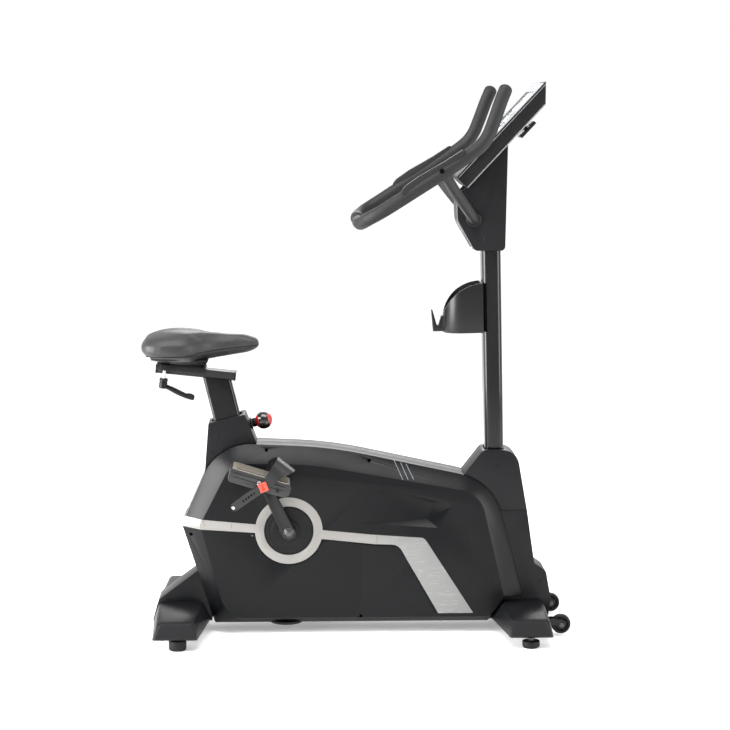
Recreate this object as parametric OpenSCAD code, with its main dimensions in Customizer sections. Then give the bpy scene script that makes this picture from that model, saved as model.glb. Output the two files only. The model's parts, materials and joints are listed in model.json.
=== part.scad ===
// Upright exercise bike: belt drive to a flywheel with a magnetic brake, in a two-piece casing.
// Millimetres. +X is forward, +Y is the rider's left, +Z is up, and the floor is Z = 0.
// The modules are drawn with X = 0 at the crank axis; place() then centres the bike on its length.

/* [Stance] */
// Overall width over the two feet
foot_w = 530; // [460:5:640]
// Crank axis back to the rear foot's centre line
rear_foot_x = 290; // [270:5:330]
// Crank axis forward to the front foot's centre line
front_foot_x = 634; // [620:2:660]
// Gap between the floor and the underside of the foot covers
foot_gap = 30; // [26:1:36]
// Height of the foot covers
foot_h = 52; // [46:1:60]
// Tip of a foot to the centre of its pad
pad_inset = 28; // [27:1:60]
// Radius of a foot pad
pad_r = 23; // [16:1:26]
// Radius of a transport wheel
wheel_r = 26; // [20:1:28]
// Distance between the two transport wheels
wheel_span = 238; // [160:2:360]

/* [Casing] */
// Width across the two flat side faces
casing_w = 180; // [170:2:216]
// Width across the outer edge of the side panels
casing_edge_w = 110; // [106:2:130]
// Wall of every moulded cover
wall = 3; // [2:0.5:4]
// Gap between neighbouring covers
cover_gap = 0.4; // [0.3:0.1:1]
// Width of the mast cover at the front
mast_cover_w = 104; // [96:2:110]
// Width of the seat tube cover
seat_cover_w = 92; // [76:2:104]
// Width of the tail cover
tail_w = 98; // [76:2:104]
// Outer radius of the trim ring round the crank
ring_r = 90; // [78:1:100]
// Inner radius of the trim ring
ring_in_r = 66; // [50:1:70]
// Thickness of the trim strips
trim_t = 2; // [1:0.5:3]

/* [Crank] */
// Height of the crank axis
crank_z = 284; // [275:1:300]
// Length of a crank arm, axis to axis
crank_len = 170; // [140:5:175]
// Direction of the right crank at rest, from +X towards +Z
crank_angle = 116; // [90:1:140]
// Radius of the crank axle
axle_r = 8.5; // [8:0.5:10]
// Gap between the casing's side and a crank arm
crank_gap = 12; // [9:1:20]
// Thickness of a crank arm
crank_t = 16; // [12:1:20]
// Length of a pedal, front to back
pedal_l = 166; // [100:2:170]
// Width of a pedal, along its spindle
pedal_w = 98; // [80:2:120]
// Thickness of a pedal
pedal_h = 36; // [24:1:40]
// Nose-down tilt of a pedal at rest
pedal_tilt = 17; // [0:1:30]

/* [Drive] */
// Radius of the drive pulley on the crank axle
pulley_r = 110; // [90:1:115]
// Radius of the small pulley on the flywheel
pinion_r = 22; // [18:1:30]
// Radius of the flywheel
flywheel_r = 128; // [104:1:130]
// Thickness of the flywheel's rim
flywheel_t = 22; // [16:1:26]
// Crank axis forward to the flywheel axis
flywheel_x = 330; // [300:2:340]
// Height of the flywheel axis
flywheel_z = 250; // [246:1:260]
// Width of the belt
belt_w = 14; // [10:1:16]
// Thickness of the belt
belt_t = 2.5; // [2:0.5:4]

/* [Seat] */
// Tilt of the seat post behind the vertical
post_tilt = 13.5; // [8:0.5:18]
// Depth of the seat post, front to back
post_d = 72; // [60:1:88]
// Width of the seat post
post_w = 38; // [32:1:42]
// Length of seat post that stands out of its tube
post_out = 110; // [90:5:180]
// Radius of the pull knob's ball
ball_r = 24; // [16:1:26]
// Length of the saddle
saddle_l = 314; // [260:2:340]
// Width of the saddle
saddle_w = 246; // [180:2:270]
// Height of the saddle
saddle_h = 80; // [60:1:90]

/* [Mast] */
// Depth of the mast, front to back
mast_d = 51; // [40:1:54]
// Width of the mast
mast_w = 70; // [56:1:74]
// Tilt of the mast towards the rider
mast_tilt = 1.3; // [0:0.1:3]
// Length of the mast
mast_l = 1100; // [900:5:1140]
// Top of the mast down to the bottle holder's floor
cup_drop = 393; // [350:1:500]
// Radius of the bottle holder
cup_r = 52; // [44:1:56]

/* [Handlebar] */
// Radius of the steel tube
tube_r = 14; // [12:0.5:16]
// Radius of the grip covering
grip_r = 17.5; // [16:0.5:20]
// Widest distance between the two bars
bar_span = 480; // [400:5:520]
// Distance between the two upright horns
horn_span = 410; // [340:5:480]

/* [Console] */
// Slope of the console's face above the horizontal
face_tilt = 47; // [35:1:55]
// Width of the console
console_w = 250; // [220:5:300]
// Length of the console's face
console_l = 335; // [300:5:350]
// Depth of the console
console_t = 41; // [36:1:60]
// Radius of a key
key_r = 10; // [8:0.5:12]
// Travel of a key
key_travel = 1.2; // [0.8:0.1:2]

/* [Hidden] */
$fn = 48;
// Radial clearance of a running fit, and the gap of a sliding fit
run = 0.05;
slide_gap = 0.4;
grip_gap = 0.5;
post_wall = 4;
tube_wall = 3;
bush_t = 2.5;

// Feet and beam
foot_tube = [60, 38];
pad_span = foot_w - 2 * pad_inset;
foot_tube_z = foot_gap + 6;
beam_w = 60;
beam_z0 = foot_tube_z;
beam_z1 = foot_tube_z + 64;
beam_wall = 3;
stud_r = 5;
rear_pad_h = foot_gap - 3;
front_pad_h = 18;
foot_top = foot_gap + foot_h;
wheel_x = front_foot_x + 93;
wheel_z = wheel_r + 6;
wheel_w = 22;
wheel_pin_r = 4;
fork_half = wheel_w / 2 + 5;

// Casing: corners are [x, z, corner radius], and the rear tip is on the strip's line
casing_half = casing_w / 2;
crank_y = casing_half + crank_gap;
edge_half = casing_edge_w / 2;
belly_z = foot_gap - 4;
casing_top = crank_z + 232;
casing_rear = -286;
casing_front = front_foot_x - 4;
notch_x = front_foot_x - 98;
shoulder_z = foot_top + 12;
edge_corners = [
    [casing_rear, crank_z + 11, 12], [-188, casing_top, 135], [110, casing_top - 12, 1200],
    [548, crank_z + 126, 150], [casing_front, shoulder_z, 0], [notch_x, belly_z, 0],
        [-200, belly_z, 6], [-224, foot_top + 20, 20]
];
face_corners = [
    [-236, crank_z + 18, 10], [-152, crank_z + 182, 60], [60, crank_z + 178, 700],
    [512, crank_z + 98, 80], [577, shoulder_z + 6, 12], [540, belly_z + 20, 40],
    [-168, belly_z + 20, 70]
];
scoop_depth = 18;
scoop_mouth = [[198, crank_z + 18], [218, crank_z + 122], [381, crank_z + 84], [418, crank_z + 79],
               [433, crank_z + 63], [398, crank_z + 5], [365, crank_z + 21]];
scoop_floor = [[362, crank_z + 28], [378, crank_z + 72], [388, crank_z + 70], [370, crank_z + 26]];
screw_r = 3.5;
screw_spots = [[-59, casing_top - 18, casing_half - 32], [215, casing_top - 48, casing_half - 32],
               [-261, crank_z - 13, casing_half - 30], [192, foot_top - 33, casing_half - 6]];
notch_slope = [[notch_x - 1, belly_z - 1], [notch_x, belly_z - 1], [notch_x + 42, shoulder_z],
               [casing_front + 9, shoulder_z], [casing_front + 9, belly_z - 9],
                   [notch_x - 1, belly_z - 9]];

// Seat tube and seat post: s runs up the post's axis from the top of the seat cover
sleeve = [-165, crank_z + 292];
tube_half = [post_d / 2 + bush_t + tube_wall, post_w / 2 + bush_t + tube_wall];
tube_front = sleeve[0] + (sleeve[1] - beam_z1) * tan(post_tilt) + tube_half[0] / cos(post_tilt);
post_in = 300;
seat_tube_top = -5;
groove_w = 16;
groove_d = 2;
groove_top = 60;
pin_r = 6;
pin_s = -30;
index_step = 25;
index_count = 10;
ball_n = 94;
boss_n = 64;
post_dir = [-sin(post_tilt), cos(post_tilt)];
post_top = sleeve + post_dir * post_out;

// Seat rail: u runs forward along the rail and w up from its underside
rail_tilt = 6;
rail_rear = 162;
rail_front = 46;
rail_h = 23;
rail_web = 30;
rail_flange = 50;
flange_t = 5;
carriage_u = [-160, -34];
carriage_w = 64;
plate_t = 6;
lever_u = -140;
lever_y = -38;
lever_stud_r = 4;
hub_r = 11;
hub_w = -9;
hub_h = 27;
lever_reach = 88;
lever_drop = 26;
saddle_base = [post_top[0] - 88, post_top[1] + 56];
saddle_back = 110;

// Mast
cup_h = 134;
mast_foot = [562, beam_z1 + 2];
mast_wall = 2.5;
mast_round = 16;
socket_h = 190;
socket_wall = 4;
seam_z = crank_z + 44;
mast_cover_half = mast_cover_w / 2;
mast_cover_top = crank_z + 208;
bump_z = foot_top + 100;

// Neck, handlebar and console are drawn from the top of the mast's centre line
mast_top = mast_foot + [-sin(mast_tilt), cos(mast_tilt)] * mast_l;
bar_z = -92;
bar_cross_x = -45;
neck_half = 50;
neck_z = -175;
bar_half = bar_span / 2;
horn_half = horn_span / 2;
bar_path = [[-350, 84, -96], [-349, 120, -96], [-345, 165, -94], [-325, 206, -80],
    [-285, bar_half - 12, -56],
            [-204, bar_half, -4], [-138, bar_half, 38], [-87, bar_half - 3, 72],
                [-47, bar_half - 9, 102],
            [-25, bar_half - 16, 130], [-10, bar_half - 21, 166],
                [7, (bar_half - 21 + horn_half) / 2, 214],
            [23, horn_half, 256]];
arm_path = [[bar_cross_x, 0, bar_z], [bar_cross_x, 36, bar_z], [bar_cross_x, 66, bar_z + 1],
            [bar_cross_x - 8, 100, bar_z + 10], [bar_cross_x - 32, 146, bar_z + 42],
            [bar_cross_x - 62, 192, bar_z + 82], [-130, bar_half - 8, 24], [-138, bar_half - 2, 36]];

// Console: u runs up the face and w out of it towards the rider
console_foot = [-95, 24];
face_t = 4;
lens_u = [150, 296];
lens_half = console_w / 2 - 32;
key_u = 78;
key_pitch = 46;
key_proud = key_travel + 1;

// Drive
pulley_y = 31;
flywheel_pin_r = 8;
fork_y = 60;
fork_t = 5;
bb_shell_y = [-62, 26];
bb_shell_r = 23;
bearing_r = 17.5;
bearing_w = 10;
brake_pivot = [flywheel_x - 96, flywheel_z + 128];
brake_gap = 18;
spindle_r = 7;
spindle_l = pedal_w + 6;
pedal_offset = crank_len * [cos(crank_angle), sin(crank_angle)];
pedal_y0 = crank_y + crank_t + 7;
pedal_outline = [[-pedal_l / 2, pedal_h / 2, 8], [pedal_l / 2, pedal_h / 2, 12],
    [pedal_l / 2, -pedal_h / 2, 16],
                 [-pedal_l / 2, -pedal_h / 2, 12]];
// Toe strap stops: along the pedal, out from its inner end, up from its middle, half width, and lean
strap_t = 3;
strap_side = pedal_h / 2;
strap_in = -3;
strap_out = pedal_w + 3;
strap_buckle = [12, strap_out, strap_side - 23, 12, 38];
strap_stops = [[16, strap_in, strap_side - 2, 9, 30], [22, strap_in, strap_side + 10, 13, 28],
               [28, 3, strap_side + 24, 20, 24], [51, 26, strap_side + 41, 27, 21],
               [51, pedal_w - 24, strap_side + 41, 27, 21], [33, strap_out, strap_side + 18, 18, 28],
               strap_buckle, [-50, strap_out, strap_side - 103, 11, 38]];

mid_x = (wheel_x + wheel_r + saddle_base[0] - saddle_back) / 2;

// ---- helpers ----

function unit(v) = v / norm(v);
function flat(c) = [c[0], c[1]];
// One corner of an outline as an arc of n steps between its two tangent points
function corner(a, b, c, n) = b[2] == 0 ? [flat(b)] :
    let (va = unit(flat(a) - flat(b)), vc = unit(flat(c) - flat(b)),
         half = acos(va * vc) / 2, r = b[2],
         centre = flat(b) + unit(va + vc) * r / sin(half),
         p = flat(b) + va * r / tan(half) - centre, q = flat(b) + vc * r / tan(half) - centre,
         start = atan2(p[1], p[0]), turn = (atan2(q[1], q[0]) - start + 540) % 360 - 180)
    [for (i = [0:n]) centre + r * [cos(start + turn * i / n), sin(start + turn * i / n)]];
function outline(c, n = 6) = let (m = len(c))
    [for (i = [0:m - 1]) each corner(c[(i + m - 1) % m], c[i], c[(i + 1) % m], n)];
// A smooth curve through the points of p, with n steps to each stretch
function curve(p, n) = let (m = len(p) - 1)
    [for (i = [0:m - 1]) let (a = p[max(i - 1, 0)], b = p[i], c = p[i + 1], d = p[min(i + 2, m)])
        for (k = [0:n - (i == m - 1 ? 0 : 1)]) let (t = k / n)
            0.5 * (2 * b + (c - a) * t + (2 * a - 5 * b + 4 * c - d) * t * t
                   + (3 * b - a - 3 * c + d) * t * t * t)];
function tangent(p, i) = unit(p[min(i + 1, len(p) - 1)] - p[max(i - 1, 0)]);
function ring(p, i, r, sides) = let (t = tangent(p, i), s = unit(cross(t, [0, 0, 1])), u = cross(s, t))
    [for (k = [0:sides - 1]) p[i] + r * (cos(360 * k / sides) * s + sin(360 * k / sides) * u)];
function mirrored(p) = [for (i = [len(p) - 1:-1:0]) [p[i][0], -p[i][1], p[i][2]]];

// Faces between two rings of a swept shape: n numbers the first point, and turn is the winding
function skin(m, sides, n, turn) = [for (i = [0:m - 2]) for (k = [0:sides - 1])
    let (a = n + i * sides + k, b = n + i * sides + (k + 1) % sides, c = [b, b + sides, a + sides, a])
    turn ? [c[3], c[2], c[1], c[0]] : c];
function rings(p, r, sides) = [for (i = [0:len(p) - 1]) each ring(p, i, r, sides)];

// A round bar swept along a path
module sweep(p, r, sides = 12) {
    m = len(p);
    polyhedron(points = rings(p, r, sides),
        faces = concat([[for (k = [sides - 1:-1:0]) k]], skin(m, sides, 0, false),
            [[for (k = [0:sides - 1]) (m - 1) * sides + k]]));
}

// A sleeve between two radii swept along a path
module sweep_sleeve(p, r_out, r_in, sides = 12) {
    m = len(p);
    n = m * sides;
    e = n - sides;
    polyhedron(points = concat(rings(p, r_out, sides), rings(p, r_in, sides)),
        faces = concat(skin(m, sides, 0, false), skin(m, sides, n, true),
            [for (k = [0:sides - 1]) let (b = (k + 1) % sides) [n + k, n + b, b, k]],
            [for (k = [0:sides - 1]) let (b = (k + 1) % sides) [e + k, e + b, n + e + b, n + e + k]]));
}

module place() translate([-mid_x, 0, 0]) children();
// Extrudes an outline in the XZ plane from y0 to y1
module slab(y0, y1) translate([0, y1, 0]) rotate([90, 0, 0]) linear_extrude(y1 - y0) children();
module both_sides() { children(); mirror([0, 1, 0]) children(); }
module box(x, y, z) translate([x[0], y[0], z[0]]) cube([x[1] - x[0], y[1] - y[0], z[1] - z[0]]);
module cross_pin(r, y0, y1) translate([0, y0, 0]) rotate([-90, 0, 0]) cylinder(h = y1 - y0, r = r);
module exact_bar(d, w, r, h) {
    linear_extrude(h) polygon(outline([[-d / 2, -w / 2, r], [d / 2, -w / 2, r], [d / 2, w / 2, r],
        [-d / 2, w / 2, r]], 5));
}
module on_post() translate([sleeve[0], 0, sleeve[1]]) rotate([0, -post_tilt, 0]) children();
module on_rail() translate([post_top[0], 0, post_top[1]]) rotate([0, rail_tilt, 0]) children();
module on_mast() translate([mast_foot[0], 0, mast_foot[1]]) rotate([0, -mast_tilt, 0]) children();
module on_head() translate([mast_top[0], 0, mast_top[1]]) children();
module on_console() on_head() translate([console_foot[0], 0, console_foot[1]])
    rotate([0, -face_tilt, 0]) children();
module at(x, z) translate([x, 0, z]) children();

// ---- frame ----

// The beam joins the two feet, and a short post on it carries the crank's bearings
module beam_box() difference() {
    box([-rear_foot_x + foot_tube[0] / 2, front_foot_x - foot_tube[0] / 2], [-beam_w / 2, beam_w / 2],
        [beam_z0, beam_z1]);
    box([-rear_foot_x, front_foot_x], [-beam_w / 2 + beam_wall, beam_w / 2 - beam_wall],
        [beam_z0 + beam_wall, beam_z1 - beam_wall]);
}
module bearing_post() difference() {
    union() {
        at(0, crank_z) cross_pin(bb_shell_r, bb_shell_y[0], bb_shell_y[1]);
        box([tube_front + 4, tube_front + 28], [-24, 14], [beam_z1, crank_z]);
    }
    at(0, crank_z) cross_pin(axle_r + 3, bb_shell_y[0] - 1, bb_shell_y[1] + 1);
    at(0, crank_z) cross_pin(bearing_r, bb_shell_y[0] - 1, bb_shell_y[0] + bearing_w);
    at(0, crank_z) cross_pin(bearing_r, bb_shell_y[1] - bearing_w, bb_shell_y[1] + 1);
}
module base_beam() color([0.06, 0.06, 0.07]) { beam_box(); bearing_post(); }

module foot_tube_at(x) difference() {
    box([x - foot_tube[0] / 2, x + foot_tube[0] / 2], [-foot_w / 2 + 12, foot_w / 2 - 12],
        [foot_tube_z, foot_tube_z + foot_tube[1]]);
    box([x - foot_tube[0] / 2 + 3, x + foot_tube[0] / 2 - 3], [-foot_w / 2, foot_w / 2],
        [foot_tube_z + 3, foot_tube_z + foot_tube[1] - 3]);
    for (side = [-1, 1]) translate([x, side * pad_span / 2, foot_tube_z - 1])
        cylinder(h = 5, r = stud_r + run);
}
module foot_tubes() color([0.06, 0.06, 0.07]) { foot_tube_at(-rear_foot_x); foot_tube_at(front_foot_x); }

// The seat tube stands on the beam, and its boss guides the pull pin
module seat_tube() color([0.06, 0.06, 0.07]) difference() {
    on_post() {
        translate([0, 0, -620]) exact_bar(2 * tube_half[0], 2 * tube_half[1], 12, 620 + seat_tube_top);
        translate([tube_half[0] - 1, 0, pin_s]) rotate([0, 90, 0])
            cylinder(h = boss_n - tube_half[0] + 1, r = 11);
    }
    on_post() {
        translate([0, 0, -630]) exact_bar(post_d + 2 * bush_t, post_w + 2 * bush_t, 10, 640);
        translate([0, 0, pin_s]) rotate([0, 90, 0]) cylinder(h = 90, r = pin_r + run);
    }
    box([-400, 400], [-100, 100], [-200, beam_z1]);
}

module post_bush() color([0.1, 0.1, 0.11]) on_post() difference() {
    union() {
        translate([0, 0, -70]) exact_bar(post_d + 2 * bush_t, post_w + 2 * bush_t, 10, 70 +
            seat_tube_top);
        translate([0, 0, seat_tube_top]) exact_bar(2 * tube_half[0], 2 * tube_half[1], 12, 3);
    }
    translate([0, 0, -71]) exact_bar(post_d + 2 * slide_gap, post_w + 2 * slide_gap, 10, 80);
    translate([0, 0, pin_s]) rotate([0, 90, 0]) cylinder(h = 90, r = pin_r + 0.5);
}

module crank_bearings() color([0.7, 0.7, 0.72])
    for (y = [bb_shell_y[0], bb_shell_y[1] - bearing_w]) at(0, crank_z) difference() {
        cross_pin(bearing_r, y, y + bearing_w);
        cross_pin(axle_r + run, y - 1, y + bearing_w + 1);
    }

module mast_socket() color([0.06, 0.06, 0.07]) difference() {
    on_mast() translate([0, 0, -20]) exact_bar(mast_d + 2 * socket_wall, mast_w + 2 * socket_wall,
        mast_round, socket_h + 20);
    on_mast() exact_bar(mast_d + 2 * run, mast_w + 2 * run, mast_round, socket_h + 10);
    box([400, 800], [-100, 100], [-200, beam_z1]);
}

// Two plates that carry the flywheel and the brake arm's pivot
module flywheel_bracket() color([0.06, 0.06, 0.07]) {
    difference() {
        for (side = [-1, 1]) {
            y = side * fork_y - fork_t / 2;
            slab(y, y + fork_t) polygon([
                [flywheel_x - 60, beam_z1 - 20], [flywheel_x + 60, beam_z1 - 20],
                    [flywheel_x + 26, flywheel_z + 30],
                [brake_pivot[0] + 22, brake_pivot[1] + 16], [brake_pivot[0] - 12, brake_pivot[1] + 12],
                [flywheel_x - 34, flywheel_z + 10]]);
            box([flywheel_x - 60, flywheel_x + 60], side > 0 ? [beam_w / 2, fork_y - fork_t / 2] :
                [-fork_y + fork_t / 2, -beam_w / 2],
                [beam_z1 - 20, beam_z1 - 14]);
        }
        at(flywheel_x, flywheel_z) cross_pin(flywheel_pin_r + run, -fork_y - 9, fork_y + 9);
        at(brake_pivot[0], brake_pivot[1]) cross_pin(5 + run, -fork_y - 9, fork_y + 9);
    }
}

// The mast carries the handlebar's clamp block and the console's bracket
module mast() color([0.08, 0.08, 0.09]) difference() {
    union() {
        on_mast() exact_bar(mast_d, mast_w, mast_round, mast_l);
        on_head() box([bar_cross_x - tube_r - 8, bar_cross_x + 40], [-30, 30], [bar_z - 24, bar_z + 24]);
        difference() {
            on_mast() box([-mast_d / 2, mast_d / 2], [-24, 24], [mast_l - 20, mast_l + 120]);
            on_console() box([-400, 600], [-300, 300], [-console_t, 400]);
        }
    }
    on_mast() translate([0, 0, -1])
        exact_bar(mast_d - 2 * mast_wall, mast_w - 2 * mast_wall, mast_round - mast_wall, mast_l - 19);
    on_head() at(bar_cross_x, bar_z) cross_pin(tube_r + run, -40, 40);
}

// ---- feet ----

// A foot's wing, from the side of the central cover to the tip; corners run round its cross-section
module wing(inner, tip, inner_y, inset) hull() {
    slab(-inner_y - 1, -inner_y) offset(delta = -inset) polygon(outline(inner, 4));
    slab(-foot_w / 2 + 8 + inset, -foot_w / 2 + 9 + inset) offset(delta = -inset)
        polygon(outline(tip, 4));
    slab(-foot_w / 2 + inset, -foot_w / 2 + 1 + inset) offset(delta = -4 - inset)
        polygon(outline(tip, 4));
}
module hollow_wings(inner, tip, inner_y) both_sides() difference() {
    wing(inner, tip, inner_y, 0);
    wing(inner, tip, inner_y - 2, wall);
    box([-900, 900], [-foot_w / 2 + 12, 0], [0, foot_gap + wall + 1]);
}
rear_tip = [[-rear_foot_x - 66, foot_gap, 3], [-rear_foot_x - 52, foot_top, 14],
    [-rear_foot_x + 50, foot_top, 8],
            [-rear_foot_x + 55, foot_gap, 6]];
rear_inner = [[-rear_foot_x - 76, foot_gap, 3], [-rear_foot_x - 60, foot_top, 14],
    [-rear_foot_x + 57, foot_top, 8],
              [-rear_foot_x + 81, foot_gap, 6]];
front_tip = [[front_foot_x - 60, foot_gap, 6], [front_foot_x - 54, foot_top, 8],
    [front_foot_x + 46, foot_top, 16],
             [front_foot_x + 58, foot_gap, 3]];
front_inner = [[front_foot_x - 95, foot_gap, 6], [front_foot_x - 60, foot_top, 8],
    [front_foot_x + 52, foot_top, 16],
               [front_foot_x + 62, foot_gap, 3]];
module rear_foot_cover() color([0.07, 0.07, 0.08]) hollow_wings(rear_inner, rear_tip, tail_w / 2 +
    cover_gap);
module front_foot_cover() color([0.07, 0.07, 0.08]) difference() {
    hollow_wings(front_inner, front_tip, mast_cover_half + cover_gap);
    for (side = [-1, 1]) translate([0, side * wheel_span / 2, 0])
        box([front_foot_x + foot_tube[0] / 2 + 4, wheel_x], [-fork_half - 1, fork_half + 1],
            [0, wheel_z + 17]);
}

module pad(h) difference() {
    union() {
        cylinder(h = 4, r1 = pad_r - 3, r2 = pad_r);
        translate([0, 0, 4]) cylinder(h = h - 4, r = pad_r);
        cylinder(h = foot_tube_z + 14, r = stud_r);
    }
}
module rear_feet() color([0.05, 0.05, 0.05])
    for (side = [-1, 1]) translate([-rear_foot_x, side * pad_span / 2, 0]) pad(rear_pad_h);
module leveller(side) translate([front_foot_x, side * pad_span / 2, 0]) pad(front_pad_h);
module leveller_right() color([0.05, 0.05, 0.05]) leveller(-1);
module leveller_left() color([0.05, 0.05, 0.05]) leveller(1);

// Forks bolted to the front foot tube, one round each wheel
module fork_ear(y) difference() {
    union() {
        box([front_foot_x + foot_tube[0] / 2, wheel_x], [y, y + 3], [wheel_z - 2, wheel_z + 16]);
        at(wheel_x, wheel_z + 2) cross_pin(12, y, y + 3);
    }
}
module wheel_brackets() color([0.08, 0.08, 0.09]) for (side = [-1, 1])
    translate([0, side * wheel_span / 2, 0]) {
    fork_ear(-fork_half);
    fork_ear(fork_half - 3);
    box([front_foot_x + foot_tube[0] / 2, front_foot_x + foot_tube[0] / 2 + 3], [-fork_half, fork_half],
        [wheel_z + 6, wheel_z + 30]);
    at(wheel_x, wheel_z) cross_pin(wheel_pin_r, -fork_half - 2, fork_half + 2);
}
module wheel(side) translate([wheel_x, side * wheel_span / 2, wheel_z]) difference() {
    cross_pin(wheel_r, -wheel_w / 2, wheel_w / 2);
    cross_pin(wheel_pin_r + run, -wheel_w, wheel_w);
    for (face = [-1, 1]) difference() {
        cross_pin(wheel_r - 7, face > 0 ? wheel_w / 2 - 5 : -wheel_w / 2 - 1,
            face > 0 ? wheel_w / 2 + 1 : -wheel_w / 2 + 5);
        cross_pin(8, -wheel_w, wheel_w);
    }
}
module wheel_right() color([0.05, 0.05, 0.05]) wheel(-1);
module wheel_left() color([0.05, 0.05, 0.05]) wheel(1);

// ---- casing ----

module edge_shape(grow = 0) offset(delta = grow) polygon(outline(edge_corners, 8));
module face_shape(grow = 0) offset(delta = grow) polygon(outline(face_corners, 8));
// The right half of the casing as a solid: a flat face, and a bevel down to the edge of the panel
module casing_solid(grow, seam = 0) hull() {
    slab(-edge_half - grow, seam) edge_shape(grow);
    slab(-casing_half - grow, -casing_half - grow + 1) face_shape(grow);
}
module casing_cuts() {
    slab(-200, 200) polygon(notch_slope);
    translate([0, 0, crank_z]) rotate([90, 0, 0]) cylinder(h = 300, r = ring_in_r + cover_gap,
        center = true);
    on_post() translate([0, 0, -300]) exact_bar(2 * tube_half[0] + 2, 2 * tube_half[1] + 2, 12, 400);
    on_mast() exact_bar(mast_d + 2 * socket_wall + 2, mast_w + 2 * socket_wall + 2, mast_round, 500);
    box([-400, 700], [-beam_w / 2 - 1, beam_w / 2 + 1], [beam_z0 - 1, beam_z1 + 1]);
    for (s = screw_spots) at(s[0], s[1]) cross_pin(screw_r + 1, -200, -s[2] + 20);
}
// Recess in the side face: flush at its rear end and scoop_depth deep at its front end
module scoop(grow) hull() {
    slab(-casing_half - 5, -casing_half + grow) offset(delta = grow) polygon(scoop_mouth);
    slab(-casing_half, -casing_half + scoop_depth + grow) offset(delta = grow) polygon(scoop_floor);
}
module shell() difference() {
    casing_solid(0);
    scoop(0);
    difference() {
        casing_solid(-wall, 1);
        scoop(wall);
    }
    casing_cuts();
}
module shell_right() color([0.09, 0.09, 0.1]) shell();
module shell_left() color([0.09, 0.09, 0.1]) mirror([0, 1, 0]) shell();

// Light strip from the rear tip, round the crank, and down to the front foot
strip_rear = [[casing_rear - 9, crank_z + 37], [-60, crank_z + 15], [-60, crank_z - 7],
    [casing_rear - 9, crank_z + 9]];
strip_front = [[60, crank_z + 4, 0], [220, crank_z - 12, 0], [362, crank_z - 22, 18], [494, 56, 0],
    [400, 56, 0],
               [292, crank_z - 40, 30], [230, crank_z - 38, 0], [60, crank_z - 20, 0]];
module trim_shape() difference() {
    union() {
        translate([0, crank_z]) circle(r = ring_r, $fn = 72);
        polygon(strip_rear);
        polygon(outline(strip_front));
    }
    translate([0, crank_z]) circle(r = ring_in_r, $fn = 72);
}
module trim_strip() difference() {
    intersection() {
        casing_solid(trim_t);
        slab(-casing_half - 9, -edge_half + 2) trim_shape();
    }
    casing_solid(0.05);
}
module trim_strips() color([0.72, 0.7, 0.67]) both_sides() trim_strip();

// Round cover in the middle of each ring, with a rim that seats behind the casing's wall
module crank_covers() color([0.05, 0.05, 0.055]) both_sides() at(0, crank_z) difference() {
    union() {
        cross_pin(ring_in_r, -casing_half + 1, -casing_half + 6);
        cross_pin(ring_in_r + 5, -casing_half + wall + 0.1, -casing_half + 6);
    }
    cross_pin(axle_r + 3, -200, 0);
}

module casing_prism() slab(-200, 200) edge_shape(cover_gap);
seat_cover_d = tube_half[0] / cos(post_tilt) + 6;
seat_cover = [[sleeve[0] - seat_cover_d, sleeve[1] - 9, 6],
    [sleeve[0] + seat_cover_d, sleeve[1] + 15, 5],
              [-84, casing_top - 6, 0],
              [-100, casing_top - 60, 0], [-226, crank_z + 130, 0]];
module seat_tube_cover() color([0.08, 0.08, 0.09]) difference() {
    slab(-seat_cover_w / 2, seat_cover_w / 2) polygon(outline(seat_cover));
    slab(-seat_cover_w / 2 + wall, seat_cover_w / 2 - wall) offset(delta = -wall)
        polygon(outline(seat_cover));
    casing_prism();
    on_post() translate([0, 0, -300]) exact_bar(2 * tube_half[0] + 1, 2 * tube_half[1] + 1, 12, 400);
    on_post() translate([0, 0, pin_s]) rotate([0, 90, 0]) cylinder(h = 90, r = 11.5);
}

mast_cover = [[468, crank_z + 140, 0], [521, mast_cover_top, 15], [612, mast_cover_top, 45],
    [641, seam_z, 0],
              [662, bump_z, 6], [casing_front + 64, bump_z - 22, 18],
                  [front_foot_x + 74, foot_top + 2, 6],
              [front_foot_x + 66, foot_gap, 3], [notch_x + 2, foot_gap, 0],
                  [notch_x + 48, shoulder_z, 0], [560, 300, 0]];
module mast_cover(z) difference() {
    slab(-mast_cover_half, mast_cover_half) polygon(outline(mast_cover));
    slab(-mast_cover_half + wall, mast_cover_half - wall) offset(delta = -wall)
        polygon(outline(mast_cover));
    difference() {
        casing_prism();
        slab(-201, 201) offset(delta = -cover_gap) polygon(notch_slope);
    }
    on_mast() exact_bar(mast_d + 2, mast_w + 2, mast_round, 500);
    on_mast() translate([0, 0, -20]) exact_bar(mast_d + 2 * socket_wall + 2, mast_w +
        2 * socket_wall + 2, mast_round, socket_h + 22);
    box([front_foot_x - foot_tube[0] / 2 - 1, front_foot_x + foot_tube[0] / 2 + 1], [-90, 90],
        [0, foot_tube_z + foot_tube[1] + 1]);
    box([400, front_foot_x], [-beam_w / 2 - 1, beam_w / 2 + 1], [0, beam_z1 + 1]);
    box([400, 800], [-90, 90], z);
}
module mast_cover_upper() color([0.08, 0.08, 0.09]) mast_cover([0, seam_z + 0.5]);
module mast_cover_lower() color([0.08, 0.08, 0.09]) mast_cover([seam_z, 900]);

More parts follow.
